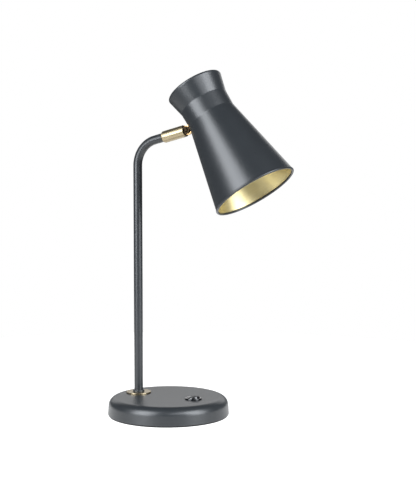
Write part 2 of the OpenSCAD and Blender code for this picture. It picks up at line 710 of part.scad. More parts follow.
module bulb_insulator() color("#151515") on_shade(contact_s + 1.4) cylinder(r1 = 4.6, r2 = 9, h = 3.2);

module bulb_cap() color("#c4c6c8") on_shade(contact_s + 4.6) {
    cylinder(r1 = 9, r2 = cap_r, h = 2.4);
    translate([0, 0, 2.4]) cylinder(r = cap_r, h = cap_end - contact_s - 7);
}

module bulb_body() color("#eeeeec") on_shade() rotate_extrude() polygon([
    [0, cap_end], [cap_r, cap_end], [cap_r, holder_mouth + 2], [globe_cut_r, globe_cut], [0, globe_cut],
]);

module led_board() color("#f4f4f2") on_shade(globe_cut) cylinder(r = globe_cut_r - 5, h = 1.6);

module bulb_globe() color("#fbfaf4") on_shade() difference() {
    translate([0, 0, globe_mid]) sphere(r = globe_r);
    translate([0, 0, globe_mid]) sphere(r = globe_r - globe_wall);
    translate([0, 0, globe_cut - 2 * globe_r]) cylinder(r = 2 * globe_r, h = 2 * globe_r);
}

base_cover();
base_weight();
base_plate();
base_pad();
cover_posts();
plate_screws();
cord_gland();
terminal_block();
terminal_tubes();
terminal_screws();
block_screw();
switch_leads();
switch_housing();
switch_terminals();
switch_bridge();
switch_rocker();
switch_plunger();
stem();
stem_washer();
stem_collar();
stem_nipple();
stem_lock_washer();
stem_nut();
stem_leads();
swivel_spigot();
swivel_spring_washer();
swivel_barrel();
swivel_knuckle();
pivot_screw();
pivot_nut();
friction_washers();
shade_tongue();
tongue_nut();
shade();
holder_bracket();
holder_nipple();
holder_nut();
lampholder();
holder_thread();
holder_contact();
holder_leads();
bulb_contact();
bulb_insulator();
bulb_cap();
bulb_body();
led_board();
bulb_globe();
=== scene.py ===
"""Looks of the desk lamp: charcoal powder coat, satin brass and a gold-lined shade.

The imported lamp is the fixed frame. Each class below is one sub-assembly of it and holds its sizes in
millimetres. Visible pieces are surfaces worked out with numpy; small turned and milled parts keep their
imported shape, with their edges eased, and every surface gets the finish of the real one.
"""

import sys

import json
import logging
import math
from collections.abc import Iterable, Sequence
from dataclasses import dataclass
from enum import Enum

import bmesh
import bpy
import numpy as np
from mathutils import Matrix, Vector


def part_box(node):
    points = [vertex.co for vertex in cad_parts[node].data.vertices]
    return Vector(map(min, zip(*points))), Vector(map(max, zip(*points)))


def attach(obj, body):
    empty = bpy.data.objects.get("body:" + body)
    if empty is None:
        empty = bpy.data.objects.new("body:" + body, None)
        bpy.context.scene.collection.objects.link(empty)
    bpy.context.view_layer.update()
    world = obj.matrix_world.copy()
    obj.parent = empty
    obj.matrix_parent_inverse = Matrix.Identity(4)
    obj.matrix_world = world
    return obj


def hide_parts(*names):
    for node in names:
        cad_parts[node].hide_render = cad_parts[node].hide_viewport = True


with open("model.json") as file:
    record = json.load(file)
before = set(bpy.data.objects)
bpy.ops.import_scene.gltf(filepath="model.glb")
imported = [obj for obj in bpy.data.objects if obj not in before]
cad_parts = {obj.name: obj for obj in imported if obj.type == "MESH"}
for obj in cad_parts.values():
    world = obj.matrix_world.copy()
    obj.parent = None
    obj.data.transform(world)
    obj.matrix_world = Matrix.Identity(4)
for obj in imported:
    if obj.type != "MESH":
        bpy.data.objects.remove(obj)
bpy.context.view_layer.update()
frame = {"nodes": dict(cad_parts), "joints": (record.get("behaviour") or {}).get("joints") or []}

MM = 0.001
ACROSS = np.array([0.0, 1.0, 0.0])
UP = np.array([0.0, 0.0, 1.0])
Array = np.ndarray
Tree = bpy.types.NodeTree
Piece = bpy.types.Object
log = logging.getLogger("lamp")


class Body(Enum):
    """The bodies of the lamp that its pieces ride on."""

    ROOT = "root"
    ROCKER = "rocker"
    SWIVEL = "swivel"
    HEAD = "head"


class Slot(Enum):
    """The record's material slots."""

    CHARCOAL = "charcoal_paint"
    BLACK_PAINT = "black_paint"
    SATIN_BRASS = "satin_brass"
    BARE_BRASS = "contact_brass"
    BRONZED = "bronzed_brass"
    ZINC = "zinc_steel"
    IRON = "cast_iron"
    RUBBER = "pad_rubber"
    GLOSS = "black_gloss"
    PHENOLIC = "black_phenolic"
    NYLON = "white_nylon"
    BLACK_NYLON = "black_nylon"
    SLEEVE = "lead_sleeve"
    ALUMINIUM = "cap_aluminium"
    BULB = "bulb_white"
    OPAL = "opal_diffuser"


class Grain(Enum):
    """Which way the fine lines of a worked metal run."""

    AROUND = "round the axis, as turning or spinning leaves them"
    FREE = "with no direction of their own"


# ---- Finishes ----


def linear(code: str) -> tuple[float, float, float, float]:
    """Turns an sRGB hex colour to the linear values that shaders take.

    Args:
        code: Six hex digits with a leading #.

    Returns:
        Linear red, green and blue, and an alpha of 1.
    """
    parts = [int(code[i : i + 2], 16) / 255 for i in (1, 3, 5)]
    red, green, blue = (p / 12.92 if p <= 0.04045 else ((p + 0.055) / 1.055) ** 2.4 for p in parts)
    return red, green, blue, 1.0


def add(tree: Tree, kind: str, inputs: dict | None = None, **settings: object) -> bpy.types.Node:
    """Adds a node to a tree.

    Args:
        tree: The material's or world's nodes.
        kind: Type of the node.
        inputs: Socket name or number to a value, or to another node's output, which is linked.
        settings: Properties of the node itself.

    Returns:
        The new node.
    """
    node = tree.nodes.new(kind)
    for key, value in settings.items():
        setattr(node, key, value)
    for key, value in (inputs or {}).items():
        if isinstance(value, bpy.types.NodeSocket):
            tree.links.new(value, node.inputs[key])
        else:
            node.inputs[key].default_value = value
    return node


@dataclass(frozen=True)
class Finish:
    """What a surface is made of. Each kind of finish adds its own sizes and its own nodes."""

    name: str
    slot: Slot

    def material(self) -> bpy.types.Material:
        """Makes this finish's material the first time it is asked for.

        Returns:
            The material.
        """
        made = bpy.data.materials.get(self.name)
        if made is None:
            made = bpy.data.materials.new(self.name)
            made.use_nodes = True
            self.dress(made.node_tree, made.node_tree.nodes["Principled BSDF"])
        return made

    def dress(self, tree: Tree, shader: bpy.types.Node) -> None:
        """Sets the shader and links the patterns of the finish to it.

        Args:
            tree: The material's nodes.
            shader: Its Principled shader.
        """
        raise NotImplementedError

    def mottle(self, tree: Tree, where: bpy.types.NodeSocket, size_mm: float, detail: float = 3.0,
               low: float = 0.0, high: float = 1.0) -> bpy.types.NodeSocket:
        """Adds soft noise with spots of a real size.

        Args:
            tree: The material's nodes.
            where: Coordinates in metres.
            size_mm: Width of a spot.
            detail: Octaves of finer noise on top.
            low: Value that the darkest spots give.
            high: Value that the lightest spots give.

        Returns:
            The mapped noise value.
        """
        noise = add(tree, "ShaderNodeTexNoise",
                    {"Vector": where, "Scale": 1 / (size_mm * MM), "Detail": detail, "Roughness": 0.55})
        spread = add(tree, "ShaderNodeMapRange",
                     {"Value": noise.outputs["Fac"], "From Min": 0.3, "From Max": 0.7,
                      "To Min": low, "To Max": high})
        return spread.outputs["Result"]

    def blend(self, tree: Tree, share: bpy.types.NodeSocket, first: object,
              second: object) -> bpy.types.NodeSocket:
        """Mixes two colours by a share.

        Args:
            tree: The material's nodes.
            share: 0 gives the first colour and 1 the second.
            first: Colour or socket.
            second: Colour or socket.

        Returns:
            The mixed colour.
        """
        mix = add(tree, "ShaderNodeMix", {0: share, 6: first, 7: second}, data_type="RGBA")
        return mix.outputs[2]

    def relief(self, tree: Tree, height: bpy.types.NodeSocket, depth_mm: float,
               strength: float = 1.0, below: bpy.types.NodeSocket | None = None) -> bpy.types.NodeSocket:
        """Turns a height from 0 to 1 into a bump of a real depth.

        Args:
            tree: The material's nodes.
            height: The pattern.
            depth_mm: How deep the pattern is on the real surface.
            strength: How much of it shows.
            below: Normal of a coarser relief that this one lies on.

        Returns:
            The bumped normal.
        """
        inputs = {"Height": height, "Distance": depth_mm * MM, "Strength": strength}
        if below is not None:
            inputs["Normal"] = below
        return add(tree, "ShaderNodeBump", inputs).outputs["Normal"]

    def worn(self, tree: Tree, spots: bpy.types.NodeSocket) -> bpy.types.NodeSocket:
        """Tells how rubbed a point is: its share of edge times the noise on it.

        Args:
            tree: The material's nodes.
            spots: Noise that breaks the wear up.

        Returns:
            A share from 0 to 1.
        """
        edge = add(tree, "ShaderNodeAttribute", attribute_name="wear")
        rub = add(tree, "ShaderNodeMath", {0: edge.outputs["Fac"], 1: spots}, operation="MULTIPLY")
        return rub.outputs["Value"]

    def sum(self, tree: Tree, *values: object) -> bpy.types.NodeSocket:
        """Adds up values or sockets, from the first to the last.

        Args:
            tree: The material's nodes.
            values: Numbers or other nodes' outputs.

        Returns:
            Their sum.
        """
        total = values[0]
        for value in values[1:]:
            total = add(tree, "ShaderNodeMath", {0: total, 1: value}, operation="ADD").outputs["Value"]
        return total


@dataclass(frozen=True)
class PowderCoat(Finish):
    """Satin polyester powder baked on steel.

    It flows to a faint orange peel, a few hundredths deep, that breaks up the edge of a highlight, and
    it rubs a little smoother and paler on its edges.
    """

    colour: str = "#1a1d20"
    cloud: str = "#1e2124"
    rubbed: str = "#34383b"
    gloss: float = 0.33
    peel_mm: float = 1.5
    peel_deep_mm: float = 0.012
    grit_mm: float = 0.35

    def dress(self, tree: Tree, shader: bpy.types.Node) -> None:
        """Dresses the shader.

        Args:
            tree: The material's nodes.
            shader: Its Principled shader.
        """
        where = add(tree, "ShaderNodeTexCoord").outputs["Object"]
        clouds = self.mottle(tree, where, 38.0)
        grit = self.mottle(tree, where, self.grit_mm, 2.0)
        rub = self.worn(tree, self.mottle(tree, where, 2.2, 4.0, 0.0, 0.4))
        tone = self.blend(tree, clouds, linear(self.colour), linear(self.cloud))
        speck = add(tree, "ShaderNodeMath", {0: grit, 1: 0.10}, operation="MULTIPLY").outputs["Value"]
        tone = self.blend(tree, speck, tone, linear(self.rubbed))
        tone = self.blend(tree, rub, tone, linear(self.rubbed))
        peel = self.mottle(tree, where, self.peel_mm, 1.0)
        normal = self.relief(tree, peel, self.peel_deep_mm)
        normal = self.relief(tree, grit, self.peel_deep_mm * 0.35, 1.0, normal)
        smooth = add(tree, "ShaderNodeMapRange",
                     {"Value": grit, "To Min": self.gloss - 0.03, "To Max": self.gloss + 0.05})
        eased = add(tree, "ShaderNodeMapRange",
                    {"Value": rub, "To Min": 0.0, "To Max": -0.10})
        rough = self.sum(tree, smooth.outputs["Result"], eased.outputs["Result"])
        shader.inputs["IOR"].default_value = 1.55
        tree.links.new(tone, shader.inputs["Base Color"])
        tree.links.new(rough, shader.inputs["Roughness"])
        tree.links.new(normal, shader.inputs["Normal"])


@dataclass(frozen=True)
class WorkedMetal(Finish):
    """Metal that turning, spinning, drawing or stamping has left with fine lines.

    Real lines are 0.05 mm apart. They are drawn four to ten times as coarse, so that they show. Light
    spreads across them, which gives turned parts a soft streak along each side.
    """

    colour: str = "#d9c79a"
    dull: str = "#b29a63"
    gloss: float = 0.3
    grain: Grain = Grain.AROUND
    line_mm: float = 0.2
    line_deep_mm: float = 0.002
    stretch: float = 0.0
    lacquer: float = 0.0
    stain: float = 0.35
    streak: float = 0.3

    def lines(self, tree: Tree, where: bpy.types.NodeSocket) -> bpy.types.NodeSocket:
        """Adds the fine lines: noise drawn out along the way the tool moved.

        Args:
            tree: The material's nodes.
            where: Coordinates in metres, for a metal with no direction.

        Returns:
            Height of the lines.
        """
        if self.grain is Grain.FREE:
            return self.mottle(tree, where, self.line_mm * 3, 3.0)
        lay = add(tree, "ShaderNodeAttribute", attribute_name="lay").outputs["Vector"]
        scale = (1.2, 1.2, 1 / self.line_mm)
        drawn = add(tree, "ShaderNodeMapping", {"Vector": lay, "Scale": scale}).outputs["Vector"]
        noise = add(tree, "ShaderNodeTexNoise",
                    {"Vector": drawn, "Scale": 1.0, "Detail": 3.0, "Roughness": 0.6})
        return noise.outputs["Fac"]

    def dress(self, tree: Tree, shader: bpy.types.Node) -> None:
        """Dresses the shader.

        Args:
            tree: The material's nodes.
            shader: Its Principled shader.
        """
        where = add(tree, "ShaderNodeTexCoord").outputs["Object"]
        lines = self.lines(tree, where)
        stains = self.mottle(tree, where, 9.0, 4.0, 0.0, self.stain)
        rub = self.worn(tree, self.mottle(tree, where, 1.4, 3.0, 0.0, 0.5))
        tone = self.blend(tree, stains, linear(self.colour), linear(self.dull))
        streak = add(tree, "ShaderNodeMapRange",
                     {"Value": lines, "From Min": 0.35, "From Max": 0.65,
                      "To Min": 0.0, "To Max": self.streak})
        tone = self.blend(tree, streak.outputs["Result"], tone, linear(self.dull))
        tone = self.blend(tree, rub, tone, linear(self.colour))
        rough = add(tree, "ShaderNodeMapRange",
                    {"Value": lines, "From Min": 0.3, "From Max": 0.7,
                     "To Min": self.gloss - 0.05, "To Max": self.gloss + 0.08})
        smudge = self.mottle(tree, where, 14.0, 3.0, -0.02, 0.05)
        shader.inputs["Metallic"].default_value = 1.0
        shader.inputs["Anisotropic"].default_value = self.stretch
        shader.inputs["Coat Weight"].default_value = self.lacquer
        shader.inputs["Coat Roughness"].default_value = 0.2
        if self.stretch > 0:
            tangent = add(tree, "ShaderNodeTangent", direction_type="UV_MAP", uv_map="turn")
            shader.inputs["Anisotropic Rotation"].default_value = 0.25
            tree.links.new(tangent.outputs["Tangent"], shader.inputs["Tangent"])
        tree.links.new(tone, shader.inputs["Base Color"])
        tree.links.new(self.sum(tree, rough.outputs["Result"], smudge), shader.inputs["Roughness"])
        tree.links.new(self.relief(tree, lines, self.line_deep_mm), shader.inputs["Normal"])


@dataclass(frozen=True)
class ZincPlate(Finish):
    """Bright zinc with a clear passivate on stamped steel.

    The film is a few tenths of a micron, so that the grey drifts to faint blue and straw in patches of
    about a centimetre.
    """

    colour: str = "#b4b7ba"
    blue: str = "#9aa6b2"
    straw: str = "#b8ad90"
    gloss: float = 0.32

    def dress(self, tree: Tree, shader: bpy.types.Node) -> None:
        """Dresses the shader.

        Args:
            tree: The material's nodes.
            shader: Its Principled shader.
        """
        where = add(tree, "ShaderNodeTexCoord").outputs["Object"]
        grains = add(tree, "ShaderNodeTexVoronoi", {"Vector": where, "Scale": 1 / (1.3 * MM)})
        shade = add(tree, "ShaderNodeSeparateColor", {"Color": grains.outputs["Color"]})
        cool = self.blend(tree, self.mottle(tree, where, 7.0), linear(self.colour), linear(self.blue))
        warm = self.blend(tree, self.mottle(tree, where, 11.0, 4.0, 0.0, 0.5), cool, linear(self.straw))
        rough = add(tree, "ShaderNodeMapRange",
                    {"Value": shade.outputs["Red"],
                     "To Min": self.gloss - 0.06, "To Max": self.gloss + 0.1})
        pits = self.mottle(tree, where, 0.4, 4.0)
        shader.inputs["Metallic"].default_value = 1.0
        tree.links.new(warm, shader.inputs["Base Color"])
        tree.links.new(rough.outputs["Result"], shader.inputs["Roughness"])
        tree.links.new(self.relief(tree, pits, 0.004), shader.inputs["Normal"])


@dataclass(frozen=True)
class Moulding(Finish):
    """A moulded plastic or rubber: its skin copies the tool, from polished steel to spark-eroded."""

    colour: str = "#101011"
    bloom: str = "#1c1c1e"
    gloss: float = 0.2
    skin_mm: float = 0.4
    skin_deep_mm: float = 0.004
    ior: float = 1.5
    glow: float = 0.0
    glow_mm: float = 2.0
    coat: float = 0.0

    def dress(self, tree: Tree, shader: bpy.types.Node) -> None:
        """Dresses the shader.

        Args:
            tree: The material's nodes.
            shader: Its Principled shader.
        """
        where = add(tree, "ShaderNodeTexCoord").outputs["Object"]
        skin = self.mottle(tree, where, self.skin_mm, 3.0)
        flow = self.mottle(tree, where, 6.0, 3.0)
        rub = self.worn(tree, self.mottle(tree, where, 1.0, 3.0, 0.1, 0.9))
        tone = self.blend(tree, flow, linear(self.colour), linear(self.bloom))
        tone = self.blend(tree, rub, tone, linear(self.bloom))
        rough = add(tree, "ShaderNodeMapRange",
                    {"Value": skin, "To Min": self.gloss, "To Max": self.gloss + 0.08})
        dust = self.mottle(tree, where, 3.0, 5.0, -0.01, 0.06)
        shader.inputs["IOR"].default_value = self.ior
        shader.inputs["Subsurface Weight"].default_value = self.glow
        shader.inputs["Subsurface Scale"].default_value = self.glow_mm * MM
        shader.inputs["Subsurface Radius"].default_value = (1.0, 0.9, 0.8)
        shader.inputs["Coat Weight"].default_value = self.coat
        shader.inputs["Coat Roughness"].default_value = 0.05
        tree.links.new(tone, shader.inputs["Base Color"])
        tree.links.new(self.sum(tree, rough.outputs["Result"], dust), shader.inputs["Roughness"])
        tree.links.new(self.relief(tree, skin, self.skin_deep_mm), shader.inputs["Normal"])


@dataclass(frozen=True)
class SandCasting(Finish):
    """Grey iron as it comes from a sand mould: coarse, nearly black, with a breath of rust."""

    colour: str = "#3b3a38"
    rust: str = "#5a4030"
    gloss: float = 0.62
    sand_mm: float = 0.9

    def dress(self, tree: Tree, shader: bpy.types.Node) -> None:
        """Dresses the shader.

        Args:
            tree: The material's nodes.
            shader: Its Principled shader.
        """
        where = add(tree, "ShaderNodeTexCoord").outputs["Object"]
        sand = self.mottle(tree, where, self.sand_mm, 5.0)
        tone = self.blend(tree, self.mottle(tree, where, 12.0, 5.0, 0.0, 0.55),
                          linear(self.colour), linear(self.rust))
        rough = add(tree, "ShaderNodeMapRange",
                    {"Value": sand, "To Min": self.gloss, "To Max": self.gloss + 0.2})
        shader.inputs["Metallic"].default_value = 0.6
        tree.links.new(tone, shader.inputs["Base Color"])
        tree.links.new(rough.outputs["Result"], shader.inputs["Roughness"])
        tree.links.new(self.relief(tree, sand, 0.12), shader.inputs["Normal"])


# Polyester powder coat: satin, with wide cool highlights that a faint orange peel breaks up.
PAINT = PowderCoat("charcoal_powder_coat", Slot.CHARCOAL)
# Sprayed lacquer: darker and a little smoother than the powder coat.
COLLAR_PAINT = PowderCoat("black_satin_lacquer", Slot.BLACK_PAINT, "#1d1f20", "#242628", "#3c3f42", 0.3)
# Turned brass under clear lacquer: pale, with a soft streak along each cylinder.
BRASS = WorkedMetal("lacquered_satin_brass", Slot.SATIN_BRASS, "#a6987c", "#8a7b5c", 0.3,
                    line_deep_mm=0.0004, lacquer=0.1, stain=0.15, streak=0.12)
# Brass polished by hand: warm, with small bright glints.
EYE_BRASS = WorkedMetal("polished_brass", Slot.SATIN_BRASS, "#cda878", "#a07a48", 0.26, Grain.FREE)
# Gold lacquer on spun steel: fine rings that fan the highlight out along the cone.
GOLD = WorkedMetal("spun_gold_lacquer", Slot.SATIN_BRASS, "#d9cda0", "#bfb080", 0.42,
                   line_mm=0.5, line_deep_mm=0.003, stretch=0.5, stain=0.2)
# Bare brass from the lathe or press: yellow, dulled by handling.
BARE_BRASS = WorkedMetal("bare_turned_brass", Slot.BARE_BRASS, "#c9a96a", "#8f6f36", 0.28, Grain.FREE)
# Brass darkened in a bath: nearly black, with a brown glint.
BRONZED = WorkedMetal("chemically_darkened_brass", Slot.BRONZED, "#2c241a", "#15110c", 0.4, Grain.FREE)
# Zinc plate: bluish grey patches of crystals.
ZINC = ZincPlate("zinc_plated_steel", Slot.ZINC)
# Cast iron: coarse and dull.
IRON = SandCasting("sand_cast_iron", Slot.IRON)
# Sponge rubber: black, and darkened to near-black beyond that as painted shade, standing in for the contact
# shadow along the base's lower edge.
RUBBER = Moulding("sponge_rubber_pad", Slot.RUBBER, "#0c0c0c", "#161616", 0.8, 0.5, 0.03, ior=1.2)
# ABS from a polished tool: mirrors the soft boxes with sharp edges.
GLOSS = Moulding("polished_black_abs", Slot.GLOSS, "#08080a", "#0e0e11", 0.06, 1.2, 0.002, coat=0.4)
# Phenolic pressed in a hard tool: brownish black with a dull shine.
PHENOLIC = Moulding("pressed_black_phenolic", Slot.PHENOLIC, "#141312", "#1e1b19", 0.3, 0.7, 0.006)
# Undyed nylon: milky, since light goes a little way in.
NYLON = Moulding("natural_nylon", Slot.NYLON, "#ddd8ca", "#cfc8b6", 0.38, 0.5, 0.004, glow=0.4)
# Nylon filled with graphite: dark and greasy looking.
GRAPHITE_NYLON = Moulding("graphite_filled_nylon", Slot.BLACK_NYLON, "#171615", "#211f1d", 0.4, 0.5, 0.004)
# Silicone sleeving: brick red and matt.
SLEEVE = Moulding("silicone_sleeving", Slot.SLEEVE, "#7a3b2a", "#8f4a36", 0.45, 0.4, 0.006)
# Rolled aluminium: bright, with fine lines round it.
CAP = WorkedMetal("rolled_aluminium_cap", Slot.ALUMINIUM, "#c9cbcd", "#a2a5a8", 0.3, Grain.AROUND, 0.25)
# White polycarbonate: smooth and slightly see-through at its edges.
BULB_SHELL = Moulding("white_polycarbonate", Slot.BULB, "#eeeeea", "#e4e3dd", 0.28, 0.8, 0.004, glow=0.3)
# Opal polycarbonate: light spreads through it, so that no edge shows behind it.
OPAL = Moulding("opal_polycarbonate", Slot.OPAL, "#f6f4ee", "#f1eee6", 0.34, 0.9, 0.004,
                glow=0.8, glow_mm=4.0)


# ---- Shapes ----


def unit(way: Array) -> Array:
    """Returns a vector of length 1 the same way."""
    return way / np.linalg.norm(way)


@dataclass(frozen=True)
class Axes:
    """A place and a turn in the lamp's frame, for shapes that are drawn in millimetres."""

    origin: Array
    x: Array
    y: Array
    z: Array

    def place(self, local: Array) -> Array:
        """Turns local millimetres into metres in the lamp's frame.

        Args:
            local: Points with x, y and z last.

        Returns:
            The same points, placed.
        """
        x, y, z = local[..., :1], local[..., 1:2], local[..., 2:]
        return self.origin + MM * (x * self.x + y * self.y + z * self.z)

    def moved(self, x: float = 0.0, y: float = 0.0, z: float = 0.0) -> "Axes":
        """Returns the same turn at a point given in local millimetres."""
        return Axes(self.place(np.array([x, y, z])), self.x, self.y, self.z)

    @classmethod
    def facing(cls, origin: Array, z: Array, y: Array = ACROSS) -> "Axes":
        """Builds axes from a z way and a y way that is square to it.

        Args:
            origin: Place in metres.
            z: Way of local z.
            y: Way of local y.

        Returns:
            Right-handed axes.
        """
        z, y = unit(np.asarray(z, float)), unit(np.asarray(y, float))
        return cls(np.asarray(origin, float), np.cross(y, z), y, z)


UPRIGHT = Axes.facing(np.zeros(3), UP)


@dataclass(frozen=True)
class Surface:
    """A grid of points with what its finish reads at each of them."""

    points: Array
    lay: Array
    wear: Array
    loops: tuple[bool, bool]
    finish: int = 0

    def faces(self) -> tuple[Array, Array]:
        """Joins neighbours of the grid.

        Returns:
            Corners of the four-sided faces, and row and column, unwrapped, of each corner.
        """
        rows, columns = self.points.shape[:2]
        low_row = np.arange(rows if self.loops[0] else rows - 1)
        low_column = np.arange(columns if self.loops[1] else columns - 1)
        row, column = (a.ravel() for a in np.meshgrid(low_row, low_column, indexing="ij"))
        at = np.stack([np.stack([row + i, column + j], -1) for i, j in ((0, 0), (1, 0), (1, 1), (0, 1))], 1)
        wrapped = at % np.array([rows, columns])
        return wrapped[..., 0] * columns + wrapped[..., 1], at


def outline(corners: Sequence[tuple[float, ...]], step: float = 0.8, closed: bool = False) -> Array:
    """Draws a line through corners, each rounded to its own radius.

    A corner of turn w and radius r is left r·tan(w / 2) before it and met again as far behind it, and
    between lies an arc round the point that is r away from both lines.

    Args:
        corners: (across, along) or (across, along, radius) in millimetres.
        step: Longest distance between points.
        closed: Whether the last corner joins the first.

    Returns:
        Points on the line, (n, 2).
    """
    spots = [np.array(c[:2], float) for c in corners]
    radii = [c[2] if len(c) > 2 else 0.0 for c in corners]
    bends: list[Array] = []
    count = len(spots)
    for i, (spot, radius) in enumerate(zip(spots, radii)):
        if radius <= 0 or (not closed and i in (0, count - 1)):
            bends.append(spot[None])
            continue
        back, on = unit(spots[i - 1] - spot), unit(spots[(i + 1) % count] - spot)
        turn = math.pi - math.acos(float(np.clip(back @ on, -1, 1)))
        start, end = spot + back * radius * math.tan(turn / 2), spot + on * radius * math.tan(turn / 2)
        centre = spot + unit(back + on) * radius / math.cos(turn / 2)
        share = np.linspace(0, 1, max(4, math.ceil(math.degrees(turn) / 7)))[:, None]
        first, last = start - centre, end - centre
        arc = (np.sin((1 - share) * turn) * first + np.sin(share * turn) * last) / math.sin(turn)
        bends.append(centre + arc)
    line = np.concatenate(bends + ([bends[0][:1]] if closed else []))
    run = np.linalg.norm(np.diff(line, axis=0), axis=1)
    line, run = line[np.append(True, run > 1e-6)], run[run > 1e-6]
    parts = [np.linspace(a, b, math.ceil(r / step), endpoint=False) for a, b, r in zip(line, line[1:], run)]
    return np.concatenate(parts if closed else parts + [line[-1:]])


def edge_share(line: Array, closed: bool, reach: float = 0.7) -> Array:
    """Tells how much of an edge each point of an outline is.

    Each point's turn is spread over its neighbours with a bell of the given reach, and a turn of about
    half a radian within that reach counts as a full edge.

    Args:
        line: Points of the outline.
        closed: Whether the outline closes on itself.
        reach: Width of the bell in millimetres.

    Returns:
        A share from 0 to 1 for each point.
    """
    back, on = line - np.roll(line, 1, 0), np.roll(line, -1, 0) - line
    turn = np.abs(np.arctan2(back[:, 0] * on[:, 1] - back[:, 1] * on[:, 0], (back * on).sum(1)))
    if not closed:
        turn[[0, -1]] = 0
    gap = np.linalg.norm(line[:, None] - line[None], axis=2)
    return np.clip((np.exp(-((gap / reach) ** 2)) * turn[None]).sum(1) / 0.5, 0, 1)


def revolve(line: Array, columns: int = 96, closed: bool = False, finish: int = 0,
            wave: Array | None = None, wear: Array | None = None) -> Surface:
    """Turns an outline round local z: (r·cos turn, r·sin turn, s).

    Args:
        line: Radius and height of each point of the outline.
        columns: Steps round the axis.
        closed: Whether the outline closes on itself.
        finish: Number of the finish on the piece.
        wave: What is added to the radius, (points, columns).
        wear: Edge share of each point, when the outline is part of a longer one.

    Returns:
        The surface.
    """
    turn = np.arange(columns) * 2 * math.pi / columns
    radius = np.repeat(line[:, :1], columns, 1) + (0 if wave is None else wave)
    run = np.append(0, np.cumsum(np.linalg.norm(np.diff(line, axis=0), axis=1)))
    height, along = np.repeat(line[:, 1:], columns, 1), np.repeat(run[:, None], columns, 1)
    points = np.stack([radius * np.cos(turn), radius * np.sin(turn), height], -1)
    lay = np.stack([np.cos(turn) + 0 * along, np.sin(turn) + 0 * along, along], -1)
    share = edge_share(line, closed) if wear is None else wear
    return Surface(points, lay, np.repeat(share[:, None], columns, 1), (closed, True), finish)


def sweep(centres: Array, ways: Array, radii: Array, columns: int = 48, closed: bool = False) -> Surface:
    """Carries a circle along a path in the XZ plane: centre + r·(cos turn·across + sin turn·up).

    Args:
        centres: Points of the path in millimetres.
        ways: Unit way of the path at each.
        radii: Radius of the circle at each.
        columns: Steps round the circle.
        closed: Whether the last circle joins the first.

    Returns:
        The surface.
    """
    turn = np.arange(columns) * 2 * math.pi / columns
    up = np.cross(ways, ACROSS)
    ring = np.cos(turn)[None, :, None] * ACROSS + np.sin(turn)[None, :, None] * up[:, None]
    points = centres[:, None] + radii[:, None, None] * ring
    run = np.append(0, np.cumsum(np.linalg.norm(np.diff(centres, axis=0), axis=1)))
    along = np.repeat(run[:, None], columns, 1)
    lay = np.stack([np.cos(turn) + 0 * along, np.sin(turn) + 0 * along, along], -1)
    return Surface(points, lay, np.zeros(along.shape), (closed, True))


def finish_mesh(piece: Piece, sharp_deg: float = 38.0) -> None:
    """Merges seams and poles, points the faces outwards and shades them smooth between sharp edges.

    Args:
        piece: A closed piece.
        sharp_deg: Turn between two faces from which their edge stays sharp.
    """
    mesh = piece.data
    shell = bmesh.new()
    shell.from_mesh(mesh)
    bmesh.ops.remove_doubles(shell, verts=shell.verts, dist=2e-6)
    bmesh.ops.recalc_face_normals(shell, faces=shell.faces)
    shell.to_mesh(mesh)
    shell.free()
    mesh.polygons.foreach_set("use_smooth", np.ones(len(mesh.polygons), bool))
    mesh.set_sharp_from_angle(angle=math.radians(sharp_deg))
    mesh.update()


def make_piece(name: str, surfaces: Iterable[Surface], axes: Axes, finishes: Sequence[Finish],
               body: Body, replaces: Sequence[str] = ()) -> Piece:
    """Builds one piece from its surfaces and puts it on its body.

    Args:
        name: Name of the piece.
        surfaces: Grids that together close the piece.
        axes: Where the grids' local millimetres lie.
        finishes: The piece's finishes, by the numbers that its surfaces give.
        body: Body that it rides on.
        replaces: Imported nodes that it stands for.

    Returns:
        The piece.
    """
    corners, faces, lays, wears, numbers, maps, count = [], [], [], [], [], [], 0
    for surface in surfaces:
        quads, at = surface.faces()
        faces.append(quads + count)
        corners.append(axes.place(surface.points).reshape(-1, 3))
        lays.append(surface.lay.reshape(-1, 3))
        wears.append(surface.wear.ravel())
        numbers.append(np.full(len(quads), surface.finish))
        maps.append((at[..., ::-1] / np.array(surface.points.shape[1::-1])).reshape(-1, 2))
        count += surface.wear.size
    mesh = bpy.data.meshes.new(name)
    mesh.from_pydata(np.concatenate(corners), [], np.concatenate(faces))
    lay = mesh.attributes.new("lay", "FLOAT_VECTOR", "POINT")
    lay.data.foreach_set("vector", np.concatenate(lays).ravel())
    wear = mesh.attributes.new("wear", "FLOAT", "POINT")
    wear.data.foreach_set("value", np.concatenate(wears))
    mesh.uv_layers.new(name="turn").data.foreach_set("uv", np.concatenate(maps).ravel())
    for finish in finishes:
        mesh.materials.append(finish.material())
    mesh.polygons.foreach_set("material_index", np.concatenate(numbers))
    piece = bpy.data.objects.new(name, mesh)
    bpy.context.scene.collection.objects.link(piece)
    finish_mesh(piece)
    settle(piece, body, replaces)
    return piece


def settle(piece: Piece, body: Body, replaces: Sequence[str]) -> None:
    """Puts a piece on its body and hides the nodes that it stands for.

    Args:
        piece: The piece.
        body: Body that it rides on.
        replaces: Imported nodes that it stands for.
    """
    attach(piece, body.value)
    if replaces:
        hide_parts(*replaces)
    log.info("%s: %d faces, rides on %s", piece.name, len(piece.data.polygons), body.value)


def cut(piece: Piece, *cutters: Piece) -> Piece:
    """Takes other solids out of a piece and removes them.

    Args:
        piece: A closed piece.
        cutters: Closed solids.

    Returns:
        The piece, with its mesh cut.
    """
    for cutter in cutters:
        taken = piece.modifiers.new(cutter.name, "BOOLEAN")
        taken.operation, taken.solver, taken.object = "DIFFERENCE", "EXACT", cutter
    bpy.context.view_layer.update()
    shown = piece.evaluated_get(bpy.context.evaluated_depsgraph_get())
    mesh = bpy.data.meshes.new_from_object(shown)
    piece.modifiers.clear()
    piece.data = mesh
    for cutter in cutters:
        bpy.data.objects.remove(cutter)
    return piece


